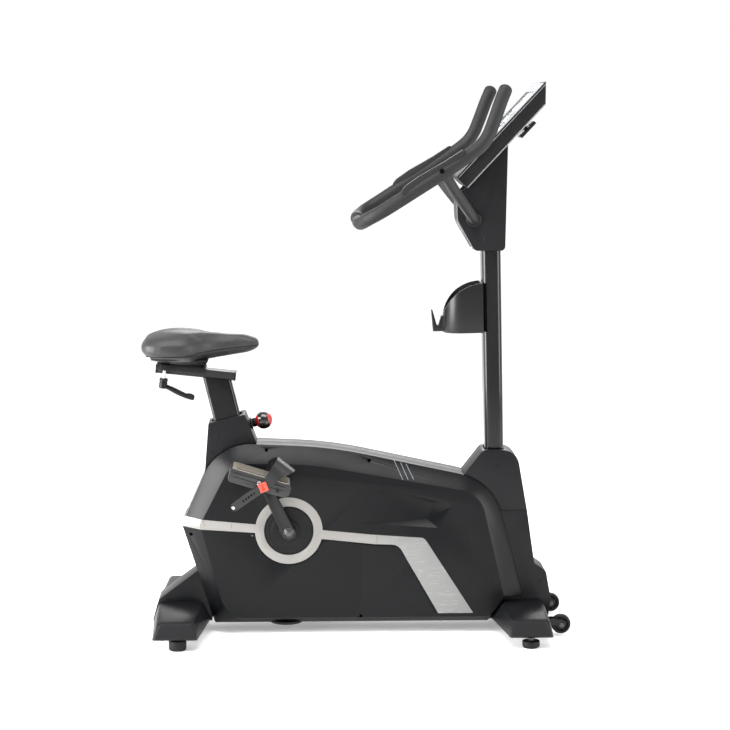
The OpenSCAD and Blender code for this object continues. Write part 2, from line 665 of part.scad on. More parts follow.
tail_cover = [[-200, foot_top + 120, 0], [-rear_foot_x - 62, foot_top + 6, 24],
    [-rear_foot_x - 78, foot_gap, 3],
              [-rear_foot_x + 82, foot_gap, 0], [-200, foot_top, 0]];
module tail_cover() color([0.08, 0.08, 0.09]) difference() {
    slab(-tail_w / 2, tail_w / 2) polygon(outline(tail_cover));
    slab(-tail_w / 2 + wall, tail_w / 2 - wall) offset(delta = -wall) polygon(outline(tail_cover));
    casing_prism();
    box([-rear_foot_x - foot_tube[0] / 2 - 1, -rear_foot_x + foot_tube[0] / 2 + 1], [-90, 90],
        [0, foot_tube_z + foot_tube[1] + 1]);
    box([-rear_foot_x, 0], [-beam_w / 2 - 1, beam_w / 2 + 1], [0, beam_z1 + 1]);
}

// Heads of the casing screws, each deep in its hole, in pairs left and right
module casing_screws() color([0.02, 0.02, 0.02]) both_sides() for (s = screw_spots) at(s[0], s[1])
    cross_pin(screw_r, -s[2], -s[2] + 10);

// ---- drive ----

module crank_axle() color([0.6, 0.6, 0.62]) at(0, crank_z) cross_pin(axle_r, -crank_y - crank_t,
    crank_y + crank_t);

module drive_pulley() color([0.12, 0.12, 0.13]) at(0, crank_z) difference() {
    union() {
        cross_pin(pulley_r, pulley_y, pulley_y + belt_w);
        cross_pin(22, pulley_y - 3, pulley_y + belt_w + 6);
    }
    cross_pin(axle_r, 0, 90);
    for (a = [0:60:300]) rotate([0, a, 0]) translate([pulley_r * 0.6, 0, 0])
        cross_pin(pulley_r * 0.2, 0, 90);
    difference() {
        cross_pin(pulley_r - 12, pulley_y + belt_w - 4, pulley_y + belt_w + 9);
        cross_pin(26, 0, 90);
    }
}

module belt_shape(grow) hull() {
    translate([0, crank_z]) circle(r = pulley_r + slide_gap + grow, $fn = 90);
    translate([flywheel_x, flywheel_z]) circle(r = pinion_r + slide_gap + grow);
}
module drive_belt() color([0.03, 0.03, 0.03]) slab(pulley_y + 0.5, pulley_y + belt_w - 0.5)
    difference() {
    belt_shape(belt_t);
    belt_shape(0);
}

module flywheel() color([0.35, 0.35, 0.37]) at(flywheel_x, flywheel_z) difference() {
    union() {
        cross_pin(flywheel_r, -flywheel_t / 2, flywheel_t / 2);
        cross_pin(pinion_r, flywheel_t / 2 - 1, pulley_y + belt_w);
        cross_pin(20, -fork_y + fork_t, flywheel_t / 2);
    }
    cross_pin(flywheel_pin_r + run, -90, 90);
    for (face = [-1, 1]) difference() {
        cross_pin(flywheel_r - 26, face > 0 ? flywheel_t / 2 - 6 : -flywheel_t / 2 - 1,
            face > 0 ? flywheel_t / 2 + 1 : -flywheel_t / 2 + 6);
        cross_pin(34, -90, 90);
    }
}
module flywheel_axle() color([0.6, 0.6, 0.62]) at(flywheel_x, flywheel_z)
    cross_pin(flywheel_pin_r, -fork_y - 10, fork_y + 10);

// Magnet carrier that swings in over the flywheel's rim
module brake_arc(r0, r1, y0, y1) at(flywheel_x, flywheel_z) slab(y0, y1) intersection() {
    difference() { circle(r = r1, $fn = 90); circle(r = r0, $fn = 90); }
    polygon([[0, 0], [-60, 200], [30, 230], [150, 200]]);
}
module brake_arm() color([0.25, 0.25, 0.27]) {
    rim = flywheel_r + brake_gap;
    side_y = flywheel_t / 2 + 3;
    brake_arc(rim, rim + 6, -side_y - 4, side_y + 4);
    for (y = [-side_y - 4, side_y]) brake_arc(flywheel_r - 8, rim + 1, y, y + 4);
    difference() {
        for (y = [-side_y - 4, side_y]) slab(y, y + 4) polygon([
            [brake_pivot[0] - 12, brake_pivot[1] - 8], [brake_pivot[0] + 12, brake_pivot[1] - 14],
            [flywheel_x - 30, flywheel_z + rim - 24], [flywheel_x - 36, flywheel_z + rim + 3],
                [brake_pivot[0] - 4, brake_pivot[1] + 12]]);
        at(brake_pivot[0], brake_pivot[1]) cross_pin(4, -60, 60);
    }
    at(brake_pivot[0], brake_pivot[1]) cross_pin(5, -fork_y - 6, fork_y + 6);
}

// Small motor that winds the brake arm's cable
module brake_motor() color([0.05, 0.25, 0.12]) {
    box([430, 510], [-28, 28], [beam_z1, beam_z1 + 6]);
    box([440, 470], [-20, 20], [beam_z1 + 6, beam_z1 + 22]);
}

// ---- cranks and pedals ----

// A crank arm tapers from its hub to the pedal's eye
module crank_arm() difference() {
    union() {
        cross_pin(20, -crank_y - crank_t, -crank_y);
        at(pedal_offset[0], pedal_offset[1]) cross_pin(16, -crank_y - crank_t, -crank_y);
        slab(-crank_y - crank_t, -crank_y) rotate(crank_angle)
            polygon([[0, -18], [crank_len, -14], [crank_len, 14], [0, 18]]);
    }
    cross_pin(axle_r, -200, 0);
    at(pedal_offset[0], pedal_offset[1]) cross_pin(spindle_r, -200, 0);
}
// The left crank is the right one turned half a turn about the axle
module right_crank_side() translate([0, 0, crank_z]) children();
module left_crank_side() translate([0, 0, crank_z]) rotate([0, 180, 0]) mirror([0, 1, 0]) children();
module crank_arm_right() color([0.05, 0.05, 0.055]) right_crank_side() crank_arm();
module crank_arm_left() color([0.05, 0.05, 0.055]) left_crank_side() crank_arm();

module right_pedal_at() translate([pedal_offset[0], 0, crank_z + pedal_offset[1]]) children();
module left_pedal_at() translate([-pedal_offset[0], 0, crank_z - pedal_offset[1]])
    mirror([0, 1, 0]) children();

module spindle() cross_pin(spindle_r, -crank_y - crank_t - spindle_l, -crank_y);
module pedal_spindles() color([0.6, 0.6, 0.62]) { right_pedal_at() spindle(); left_pedal_at()
    spindle(); }

module pedal() difference() {
    slab(-pedal_y0 - pedal_w, -pedal_y0) rotate(-pedal_tilt) polygon(outline(pedal_outline));
    cross_pin(spindle_r + run, -400, 0);
}
module pedal_right() color([0.1, 0.1, 0.105]) right_pedal_at() pedal();
module pedal_left() color([0.1, 0.1, 0.105]) left_pedal_at() pedal();

module strap_stop(c) translate([c[0], -pedal_y0 - c[1], c[2]]) rotate([0, c[4], 0])
    translate([-c[3], -strap_t / 2, -1]) cube([2 * c[3], strap_t, 2]);
module strap() rotate([0, pedal_tilt, 0]) for (i = [0:len(strap_stops) - 2]) hull() {
    strap_stop(strap_stops[i]);
    strap_stop(strap_stops[i + 1]);
}
module strap_right() color([0.12, 0.12, 0.12]) right_pedal_at() strap();
module strap_left() color([0.12, 0.12, 0.12]) left_pedal_at() strap();

module buckle() rotate([0, pedal_tilt, 0])
    translate([strap_buckle[0], -pedal_y0 - strap_out - strap_t / 2, strap_buckle[2]]) rotate([0, -38, 0])
    difference() {
        box([-11, 11], [-6, -0.1], [-12, 12]);
        box([-4, 4], [-7, -2], [-8, 8]);
    }
module buckle_right() color([0.85, 0.2, 0.1]) right_pedal_at() buckle();
module buckle_left() color([0.85, 0.2, 0.1]) left_pedal_at() buckle();

// ---- seat ----

module seat_post() color([0.07, 0.07, 0.08]) difference() {
    on_post() translate([0, 0, -post_in]) exact_bar(post_d, post_w, 10, post_in + post_out + 30);
    on_post() translate([0, 0, -post_in - 1]) exact_bar(post_d - 2 * post_wall,
        post_w - 2 * post_wall, 6, post_in + post_out + 40);
    on_post() box([post_d / 2 - groove_d, post_d], [-groove_w / 2, groove_w / 2], [-post_in - 1, groove_top]);
    for (i = [0:index_count - 1]) on_post() translate([0, 0, pin_s - i * index_step]) rotate([0, 90, 0])
        cylinder(h = 60, r = pin_r + 0.3);
    on_rail() box([-200, 200], [-50, 50], [0, 100]);
}

module seat_rail() color([0.06, 0.06, 0.065]) on_rail() difference() {
    union() {
        box([-rail_rear, rail_front], [-rail_web / 2, rail_web / 2], [0, rail_h - flange_t]);
        box([-rail_rear, rail_front], [-rail_flange / 2, rail_flange / 2], [rail_h - flange_t, rail_h]);
    }
    box([-rail_rear - 1, rail_front + 1], [-rail_web / 2 + 3, rail_web / 2 - 3], [3, rail_h - flange_t]);
}

module carriage() color([0.05, 0.05, 0.055]) on_rail() difference() {
    union() {
        box(carriage_u, [-carriage_w / 2, carriage_w / 2], [rail_h - flange_t - 6, rail_h + plate_t]);
        box([lever_u - 12, lever_u + 12], [lever_y - 10, 0], [rail_h - flange_t - 6, rail_h + plate_t]);
    }
    box([carriage_u[0] - 1, carriage_u[1] + 1], [-rail_flange / 2 - slide_gap, rail_flange / 2 +
        slide_gap],
        [rail_h - flange_t - slide_gap, rail_h + slide_gap]);
    box([carriage_u[0] - 1, carriage_u[1] + 1], [-rail_web / 2 - slide_gap, rail_web / 2 +
        slide_gap], [-20, rail_h]);
    translate([lever_u, lever_y, -20]) cylinder(h = 42, r = lever_stud_r + run);
}

module clamp_lever() color([0.04, 0.04, 0.045]) on_rail() translate([lever_u, lever_y, 0]) {
    translate([0, 0, hub_w - hub_h + 2]) cylinder(h = 20 - hub_w + hub_h - 2, r = lever_stud_r);
    translate([0, 0, hub_w - hub_h]) cylinder(h = hub_h, r = hub_r);
    hull() {
        translate([4, 0, hub_w - 22]) sphere(r = 6.5, $fn = 24);
        translate([lever_reach - 5, 0, hub_w - 18 - lever_drop]) sphere(r = 6, $fn = 24);
    }
}

module saddle_pan() color([0.04, 0.04, 0.045]) difference() {
    hull() {
        on_rail() box([carriage_u[0] + 6, carriage_u[1] - 4], [-26, 26],
            [rail_h + plate_t - 1, rail_h + plate_t]);
        translate([saddle_base[0] - 66, -60, saddle_base[1] - 4]) cube([132, 120, 4]);
    }
    on_rail() box([-300, 100], [-50, 50], [-20, rail_h + plate_t]);
}

module saddle() color([0.22, 0.22, 0.23]) translate([saddle_base[0], 0, saddle_base[1]]) difference() {
    hull() {
        for (side = [-1, 1]) translate([-saddle_back + 74, side * (saddle_w / 2 - 66), saddle_h / 2])
            scale([74, 66, saddle_h / 2]) sphere(r = 1, $fn = 32);
        translate([-saddle_back + saddle_l - 30, 0, saddle_h * 0.62])
            scale([30, 30, saddle_h * 0.28]) sphere(r = 1, $fn = 32);
    }
    translate([-200, -200, -100]) cube([400, 400, 100]);
}

module pull_knob() color([0.6, 0.05, 0.05]) on_post() translate([0, 0, pin_s]) {
    translate([post_d / 2 - groove_d + slide_gap, 0, 0]) rotate([0, 90, 0])
        cylinder(h = ball_n - post_d / 2, r = pin_r);
    translate([ball_n, 0, 0]) sphere(r = ball_r, $fn = 40);
}

// ---- mast top ----

neck = [[-42, neck_z, 15], [39, neck_z, 12], [46, 198, 0], [-97, 198, 0], [-89, -90, 24]];
module behind_console() on_console() box([-400, 600], [-300, 300], [-console_t - cover_gap, 400]);
module neck_cover() color([0.08, 0.08, 0.09]) difference() {
    on_head() slab(-neck_half, neck_half) polygon(outline(neck));
    on_head() slab(-neck_half + wall, neck_half - wall) offset(delta = -wall) polygon(outline(neck));
    behind_console();
    on_mast() exact_bar(mast_d + 2, mast_w + 2, mast_round, mast_l + 100);
    on_head() at(bar_cross_x, bar_z) cross_pin(tube_r + 5, -90, 90);
}

console_side = [[0, 0], [console_l, 0], [console_l - console_t * 1.08, -console_t],
    [-4, -console_t], [-4, -8]];
module console_block(w0, w1) on_console() intersection() {
    slab(-console_w / 2, console_w / 2) polygon(console_side);
    box([-400, 600], [-300, 300], [w0, w1]);
}
module console_back() color([0.1, 0.1, 0.11]) difference() {
    console_block(-console_t - 1, -face_t);
    on_console() slab(-console_w / 2 + wall, console_w / 2 - wall)
        polygon([[wall, 1], [console_l - wall * 2, 1], [console_l - console_t * 1.08 - wall,
            -console_t + wall], [wall, -console_t + wall]]);
}
module key_holes(r) for (k = [-1, 0, 1]) translate([key_u, k * key_pitch, -face_t - 9])
    cylinder(h = 30, r = r);
module console_face() color([0.75, 0.75, 0.77]) difference() {
    console_block(-face_t, 1);
    on_console() box(lens_u, [-lens_half, lens_half], [-face_t - 1, 2]);
    on_console() key_holes(key_r + slide_gap);
}
module display_lens() color([0.03, 0.04, 0.05])
    on_console() box([lens_u[0] + 0.1, lens_u[1] - 0.1], [-lens_half + 0.1, lens_half - 0.1],
        [-face_t, -0.6]);
module key(k) on_console() translate([key_u, k * key_pitch, -face_t - 2])
    cylinder(h = face_t + 2 + key_proud, r = key_r);
module key_start() color([0.1, 0.5, 0.2]) key(0);
module key_up() color([0.2, 0.2, 0.22]) key(-1);
module key_down() color([0.2, 0.2, 0.22]) key(1);

// Narrow bar on two stand-offs behind the console
module console_rest() color([0.03, 0.03, 0.03]) on_console() {
    box([192, 246], [-45, 45], [-console_t - 22, -console_t - 15]);
    for (side = [-1, 1]) translate([219, side * 30, -console_t - 16]) cylinder(h = 16, r = 4);
}

// Bottle holder: a cup with its front cut on a sweep, and a forked hook for a towel or a cable
module cup_holder() color([0.07, 0.07, 0.075]) on_mast() translate([-mast_d / 2, 0,
    mast_l - cup_drop]) {
    mid = -1 - cup_r;
    difference() {
        intersection() {
            union() {
                translate([mid, 0, 0]) cylinder(h = cup_h, r = cup_r, $fn = 64);
                box([mid, 0], [-cup_r, cup_r], [0, cup_h]);
            }
            at(2, 22) cross_pin(cup_h - 24, -90, 90);
        }
        translate([mid, 0, wall]) cylinder(h = cup_h, r = cup_r - wall, $fn = 64);
        box([mid, -wall], [-cup_r + wall, cup_r - wall], [wall, cup_h]);
    }
    translate([mid - cup_r, 0, 0]) slab(-11, 11) polygon([[-27, 3], [-31, 61], [-28, 61],
        [-17, 20], [-12, 20],
        [-4, 45], [2, 45], [2, 3]]);
}

// ---- handlebar ----

bar_curve = curve(bar_path, 3);
arm_curve = curve(arm_path, 3);
module handlebar() color([0.1, 0.1, 0.11]) on_head() {
    sweep(concat(mirrored(arm_curve), [for (i = [1:len(arm_curve) - 1]) arm_curve[i]]), tube_r);
    both_sides() sweep(bar_curve, tube_r);
}
module grips() color([0.2, 0.2, 0.21]) on_head() both_sides() difference() {
    mirror([0, 1, 0]) sweep_sleeve(bar_curve, grip_r, tube_r + grip_gap);
    mirror([0, 1, 0]) sweep(arm_curve, tube_r + 0.3);
}

// Hand rests that are moulded round the tops of the bars
pad_corners = [[-259, -26, 6], [-237, 4, 14], [-203, 28, 20], [-137, 66, 30], [-81, 102, 5],
    [-87, 82, 5],
               [-147, 38, 20], [-217, -6, 10]];
module arm_pads() color([0.13, 0.13, 0.14]) on_head() both_sides() difference() {
    slab(-bar_half - 14, -bar_half + 14) polygon(outline(pad_corners));
    mirror([0, 1, 0]) sweep(bar_curve, grip_r + 0.2);
}

place() base_beam();
place() seat_tube();
place() mast_socket();
place() flywheel_bracket();
place() foot_tubes();
place() shell_right();
place() shell_left();
place() trim_strips();
place() crank_covers();
place() seat_tube_cover();
place() mast_cover_upper();
place() mast_cover_lower();
place() tail_cover();
place() rear_foot_cover();
place() front_foot_cover();
place() rear_feet();
place() leveller_right();
place() leveller_left();
place() wheel_brackets();
place() wheel_right();
place() wheel_left();
place() mast();
place() neck_cover();
place() console_back();
place() console_face();
place() display_lens();
place() console_rest();
place() brake_motor();
place() key_start();
place() key_up();
place() key_down();
place() cup_holder();
place() handlebar();
place() grips();
place() arm_pads();
place() post_bush();
place() casing_screws();
place() drive_belt();
place() crank_bearings();
place() crank_axle();
place() drive_pulley();
place() crank_arm_right();
place() crank_arm_left();
place() pedal_spindles();
place() pedal_right();
place() pedal_left();
place() strap_right();
place() strap_left();
place() buckle_right();
place() buckle_left();
place() flywheel();
place() flywheel_axle();
place() brake_arm();
place() seat_post();
place() seat_rail();
place() carriage();
place() saddle_pan();
place() saddle();
place() clamp_lever();
place() pull_knob();
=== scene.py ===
# %% [markdown]
# # An upright exercise bike
# The bike's frame, with every solid and joint, is already made. This notebook gives it its looks:
# moulded plastic covers, painted steel, rubber grips, a stuffed vinyl saddle, and the small parts
# that make it read as a real machine. Each step says what the piece is and why it is made that way.

# %% Load the frame
import bpy
import bmesh
import json
import math
from mathutils import Matrix, Vector
from mathutils.bvhtree import BVHTree


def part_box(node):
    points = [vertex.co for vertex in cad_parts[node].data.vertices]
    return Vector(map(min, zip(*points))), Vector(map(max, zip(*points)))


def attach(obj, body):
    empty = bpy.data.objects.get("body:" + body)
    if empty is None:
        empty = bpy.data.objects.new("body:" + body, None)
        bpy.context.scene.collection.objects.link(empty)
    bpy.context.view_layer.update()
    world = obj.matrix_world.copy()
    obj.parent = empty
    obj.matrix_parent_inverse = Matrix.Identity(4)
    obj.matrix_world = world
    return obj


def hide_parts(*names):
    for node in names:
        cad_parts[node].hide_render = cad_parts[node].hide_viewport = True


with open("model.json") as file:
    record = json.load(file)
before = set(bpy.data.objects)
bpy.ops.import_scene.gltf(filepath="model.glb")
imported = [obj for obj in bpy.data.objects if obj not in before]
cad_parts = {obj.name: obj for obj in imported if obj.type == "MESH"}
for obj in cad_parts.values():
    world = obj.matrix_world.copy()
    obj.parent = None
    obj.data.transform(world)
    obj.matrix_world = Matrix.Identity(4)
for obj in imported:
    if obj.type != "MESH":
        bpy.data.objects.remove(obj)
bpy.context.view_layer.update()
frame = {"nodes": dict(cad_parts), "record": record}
scene = bpy.context.scene
node_body = {node: body for body, nodes in frame["record"]["behaviour"]["bodies"].items() for node in nodes}

# %% [markdown]
# ## The camera and the room
# The bike is seen from its right side, almost square on, from a little above the saddle. A long lens
# keeps the two feet nearly the same size. The room is a plain white floor under a soft white sky:
# black plastic shows its shape only by what it mirrors, so the lamps are large, and each one
# is there to put one long soft highlight on one family of edges.

# %% Camera
camera_data = bpy.data.cameras.new("camera")
camera_data.lens = 100
camera_data.sensor_width = 36
camera_data.clip_end = 200
camera = bpy.data.objects.new("camera", camera_data)
scene.collection.objects.link(camera)
camera.location = (-0.1452, -5.4, 1.415)
camera.rotation_euler = (math.radians(90 - 7.362), 0, math.radians(-1.793))
scene.camera = camera
print("the camera stands at", tuple(camera.location))

# %% Floor, sky and lamps
def node_material(name):
    material = bpy.data.materials.new(name)
    material.use_nodes = True
    tree = material.node_tree
    return material, tree.nodes, tree.links, tree.nodes["Principled BSDF"]


floor_mesh = bpy.data.meshes.new("floor")
# a far wall stands behind the rider's right, so that no view looks past the floor's end
floor_mesh.from_pydata([(-60, -60, 0), (60, -60, 0), (60, 60, 0), (-60, 60, 0), (-60, -60, 14),
                        (60, -60, 14)], [],
                       [(0, 1, 2, 3), (1, 0, 4, 5)])
floor = bpy.data.objects.new("floor", floor_mesh)
scene.collection.objects.link(floor)
floor_paint, nodes, links, shader = node_material("studio_floor")
shader.inputs["Base Color"].default_value = (0.88, 0.88, 0.88, 1)
shader.inputs["Roughness"].default_value = 0.9
shader.inputs["Emission Color"].default_value = (1, 1, 1, 1)
shader.inputs["Emission Strength"].default_value = 0.25
floor_mesh.materials.append(floor_paint)

world = bpy.data.worlds.new("sky")
world.use_nodes = True
sky = world.node_tree
heading = sky.nodes.new("ShaderNodeTexCoord")
split = sky.nodes.new("ShaderNodeSeparateXYZ")
grade = sky.nodes.new("ShaderNodeMapRange")
for socket, value in (("From Min", -0.9), ("From Max", -0.1), ("To Min", 0.4), ("To Max", 1.0)):
    grade.inputs[socket].default_value = value
sky.links.new(heading.outputs["Generated"], split.inputs["Vector"])
sky.links.new(split.outputs["Y"], grade.inputs["Value"])
sky.links.new(grade.outputs["Result"], sky.nodes["Background"].inputs["Strength"])
sky.nodes["Background"].inputs["Color"].default_value = (1, 1, 1, 1)
scene.world = world
scene.view_settings.view_transform = "Standard"


def lamp(name, place, target, size, power):
    data = bpy.data.lights.new(name, "AREA")
    data.shape = "RECTANGLE"
    data.size, data.size_y = size
    data.energy = power
    thing = bpy.data.objects.new(name, data)
    scene.collection.objects.link(thing)
    thing.location = place
    thing.rotation_euler = (Vector(target) - Vector(place)).to_track_quat("-Z", "Y").to_euler()
    return thing


lamp("top_softbox", (-0.2, -1.0, 3.3), (0, -0.1, 0.5), (3.0, 1.5), 105)
lamp("rear_softbox", (-3.0, -1.0, 1.2), (-0.2, 0, 0.6), (1.9, 2.4), 260)
lamp("fore_softbox", (3.0, -1.3, 1.3), (0.2, 0, 0.7), (1.3, 2.2), 75)
lamp("far_softbox", (0.4, 3.0, 2.2), (0, 0, 0.7), (2.5, 1.5), 50)
print("four lamps are hung")

# %% [markdown]
# ## Finishes
# Every finish is a Principled shader fed by noise. Moulded plastic has a fine sparkle of grain, so a
# small noise drives bump, and a slow one moves its roughness a little, as handling does. Rubber has a
# coarser, softer grain; vinyl is a Voronoi pattern of cells, because leather grain is a network of creases.
# One function makes them all, and each finish only states what sets it apart.

# %% The finish function
finishes = {}


def finish(name, colour, rough, metal=0.0, grain=0.0, grain_size=0.001, mottle=0.06, coat=0.0,
           pattern="NOISE",
           stretch=(1, 1, 1), dust=0.0, gloss=0.5):
    """A material. Grain is the bump's strength, grain_size its scale in metres, and mottle how far the
    roughness wanders."""
    material, nodes, links, shader = node_material(name)
    shader.inputs["Specular IOR Level"].default_value = gloss
    shader.inputs["Metallic"].default_value = metal
    shader.inputs["Coat Weight"].default_value = coat
    shader.inputs["Coat Roughness"].default_value = 0.08
    place = nodes.new("ShaderNodeTexCoord")
    spread = nodes.new("ShaderNodeMapping")
    spread.inputs["Scale"].default_value = stretch
    links.new(place.outputs["Object"], spread.inputs["Vector"])
    slow = nodes.new("ShaderNodeTexNoise")
    slow.inputs["Scale"].default_value = 9
    slow.inputs["Detail"].default_value = 5
    links.new(spread.outputs["Vector"], slow.inputs["Vector"])
    wander = nodes.new("ShaderNodeMapRange")
    wander.inputs["From Min"].default_value = 0.3
    wander.inputs["From Max"].default_value = 0.7
    wander.inputs["To Min"].default_value = max(rough - mottle, 0.03)
    wander.inputs["To Max"].default_value = min(rough + mottle, 1.0)
    links.new(slow.outputs["Fac"], wander.inputs["Value"])
    links.new(wander.outputs["Result"], shader.inputs["Roughness"])
    tint = nodes.new("ShaderNodeMix")
    tint.data_type = "RGBA"
    tint.inputs["A"].default_value = (*[c * (1 - 0.12) for c in colour], 1)
    tint.inputs["B"].default_value = (*[min(c * 1.12 + dust, 1) for c in colour], 1)
    links.new(slow.outputs["Fac"], tint.inputs["Factor"])
    links.new(tint.outputs["Result"], shader.inputs["Base Color"])
    if grain:
        if pattern == "CELLS":
            fine = nodes.new("ShaderNodeTexVoronoi")
            fine.feature = "DISTANCE_TO_EDGE"
            height = fine.outputs["Distance"]
        else:
            fine = nodes.new("ShaderNodeTexNoise")
            fine.inputs["Detail"].default_value = 3
            height = fine.outputs["Fac"]
        fine.inputs["Scale"].default_value = 1 / grain_size
        links.new(spread.outputs["Vector"], fine.inputs["Vector"])
        bump = nodes.new("ShaderNodeBump")
        bump.inputs["Strength"].default_value = grain
        bump.inputs["Distance"].default_value = grain_size * 0.4
        links.new(height, bump.inputs["Height"])
        links.new(bump.outputs["Normal"], shader.inputs["Normal"])
    finishes[name] = material
    return material


finish("casing_plastic", (0.0028, 0.003, 0.0036), 0.33, grain=0.25, grain_size=0.0012, gloss=0.17)
finish("cover_plastic", (0.005, 0.0052, 0.006), 0.38, grain=0.3, grain_size=0.0014, gloss=0.2)
finish("dark_plastic", (0.003, 0.003, 0.0034), 0.45, grain=0.2, grain_size=0.001, gloss=0.22)
finish("groove_black", (0.0012, 0.0012, 0.0012), 0.8, grain=0.1, grain_size=0.001, gloss=0.05)
finish("gloss_paint", (0.003, 0.003, 0.0035), 0.2, grain=0.03, grain_size=0.004, mottle=0.04, coat=0.22,
       gloss=0.2)
finish("satin_paint", (0.005, 0.005, 0.0055), 0.34, grain=0.08, grain_size=0.0015, gloss=0.3)
finish("silver_trim", (0.36, 0.345, 0.325), 0.4, metal=0.1, grain=0.06, grain_size=0.0008)
trim = finishes["silver_trim"].node_tree
where = trim.nodes.new("ShaderNodeTexCoord")
split = trim.nodes.new("ShaderNodeSeparateXYZ")
wide_end = trim.nodes.new("ShaderNodeMapRange")
for socket, value in (("From Min", 0.04), ("From Max", 0.12), ("To Min", 0.0), ("To Max", 1.0)):
    wide_end.inputs[socket].default_value = value
turn = trim.nodes.new("ShaderNodeMapping")
turn.inputs["Rotation"].default_value = (0, 0.7, 0)
turn.inputs["Scale"].default_value = (5, 1, 260)
scuffs = trim.nodes.new("ShaderNodeTexNoise")
scuffs.inputs["Detail"].default_value = 2
thin = trim.nodes.new("ShaderNodeMapRange")
for socket, value in (("From Min", 0.66), ("From Max", 0.74), ("To Min", 0.0), ("To Max", 0.9)):
    thin.inputs[socket].default_value = value
only_there = trim.nodes.new("ShaderNodeMath")
only_there.operation = "MULTIPLY"
tone = trim.nodes.new("ShaderNodeMix")
tone.data_type = "RGBA"
tone.inputs["A"].default_value = (0.225, 0.217, 0.205, 1)
tone.inputs["B"].default_value = (0.185, 0.187, 0.182, 1)
worn = trim.nodes.new("ShaderNodeMix")
worn.data_type = "RGBA"
worn.inputs["B"].default_value = (0.5, 0.5, 0.49, 1)
for a, b in ((where.outputs["Object"], split.inputs["Vector"]),
             (split.outputs["X"], wide_end.inputs["Value"]),
             (where.outputs["Object"], turn.inputs["Vector"]),
             (turn.outputs["Vector"], scuffs.inputs["Vector"]),
             (scuffs.outputs["Fac"], thin.inputs["Value"]), (thin.outputs["Result"], only_there.inputs[0]),
             (wide_end.outputs["Result"], only_there.inputs[1]),
             (wide_end.outputs["Result"], tone.inputs["Factor"]),
             (tone.outputs["Result"], worn.inputs["A"]), (only_there.outputs["Value"], worn.inputs["Factor"]),
             (worn.outputs["Result"], trim.nodes["Principled BSDF"].inputs["Base Color"])):
    trim.links.new(a, b)
# painted highlight: a light grey finish for thin lines along seams and edges, where the black surface only
# shows a highlight
finish("painted_highlight_trim", (0.16, 0.16, 0.165), 0.35, metal=0.2, grain=0.06, grain_size=0.0008)
finish("foam_rubber", (0.0062, 0.0062, 0.0066), 0.62, grain=0.5, grain_size=0.0011, mottle=0.1, gloss=0.35)
finish("bar_coating", (0.0058, 0.0058, 0.0062), 0.5, grain=0.3, grain_size=0.001, gloss=0.35)
finish("foot_rubber", (0.004, 0.004, 0.004), 0.6, grain=0.4, grain_size=0.0012, gloss=0.25)
finish("seat_vinyl", (0.0155, 0.0158, 0.0166), 0.46, grain=0.3, grain_size=0.0032, pattern="CELLS", gloss=0.4)
finish("red_plastic", (0.4, 0.012, 0.014), 0.25, grain=0.05, grain_size=0.001, coat=0.4)
finish("knob_black", (0.004, 0.004, 0.004), 0.14, grain=0.03, grain_size=0.001, coat=0.6, mottle=0.04)
finish("buckle_orange", (0.62, 0.06, 0.03), 0.4, grain=0.05, grain_size=0.001)
finish("pedal_plastic", (0.011, 0.011, 0.0115), 0.34, grain=0.15, grain_size=0.001, gloss=0.5)
finish("strap_rubber", (0.008, 0.008, 0.008), 0.4, grain=0.25, grain_size=0.0009, gloss=0.5)
finish("tread_tan", (0.13, 0.115, 0.092), 0.6, grain=0.3, grain_size=0.0012)
finish("bare_steel", (0.5, 0.5, 0.51), 0.28, metal=1, grain=0.1, grain_size=0.0006, stretch=(1, 12, 1))
finish("bolt_steel", (0.09, 0.09, 0.095), 0.35, metal=1, grain=0.2, grain_size=0.0008)
finish("aluminium", (0.66, 0.67, 0.69), 0.35, metal=1, grain=0.1, grain_size=0.0008)
finish("cast_iron", (0.06, 0.06, 0.065), 0.5, metal=0.6, grain=0.4, grain_size=0.002)
finish("face_grey", (0.2, 0.205, 0.215), 0.6, grain=0.12, grain_size=0.001, gloss=0.15)
finish("display_glass", (0.006, 0.008, 0.011), 0.16, mottle=0.02, coat=0.12, gloss=0.3)
finish("display_segment", (0.05, 0.06, 0.065), 0.3, grain=0.05, grain_size=0.0006, mottle=0.02)
finish("key_green", (0.03, 0.25, 0.09), 0.4, grain=0.1, grain_size=0.001)
finish("key_mark", (0.55, 0.56, 0.58), 0.4, grain=0.1, grain_size=0.0008)
print(len(finishes), "finishes are mixed")

# %% [markdown]
# ## Soft edges
# A moulded or cast part has no truly sharp edge, and it is the thin highlight along the rounded
# edge that tells the eye its size. Each hard part is therefore copied from the frame, its flat faces
# are merged, and a small bevel is rolled along every real corner. Rebuilding each part by hand
# would drift from the frame; copying keeps every place exact.

# %% The edge-softening function
def put_in_scene(name, mesh, paint, body):
    thing = bpy.data.objects.new(name, mesh)
    scene.collection.objects.link(thing)
    mesh.materials.clear()
    mesh.materials.append(finishes[paint])
    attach(thing, body)
    return thing


def smooth_by_angle(mesh, angle=35):
    shape = bmesh.new()
    shape.from_mesh(mesh)
    for face in shape.faces:
        face.smooth = True
    for edge in shape.edges:
        edge.smooth = len(edge.link_faces) == 2 and edge.calc_face_angle(0) < math.radians(angle)
    shape.to_mesh(mesh)
    shape.free()


def bake_modifiers(thing):
    """Replaces the object's mesh with what its modifiers make."""
    bpy.context.view_layer.update()
    made = bpy.data.meshes.new_from_object(thing.evaluated_get(bpy.context.evaluated_depsgraph_get()))
    thing.modifiers.clear()
    thing.data = made


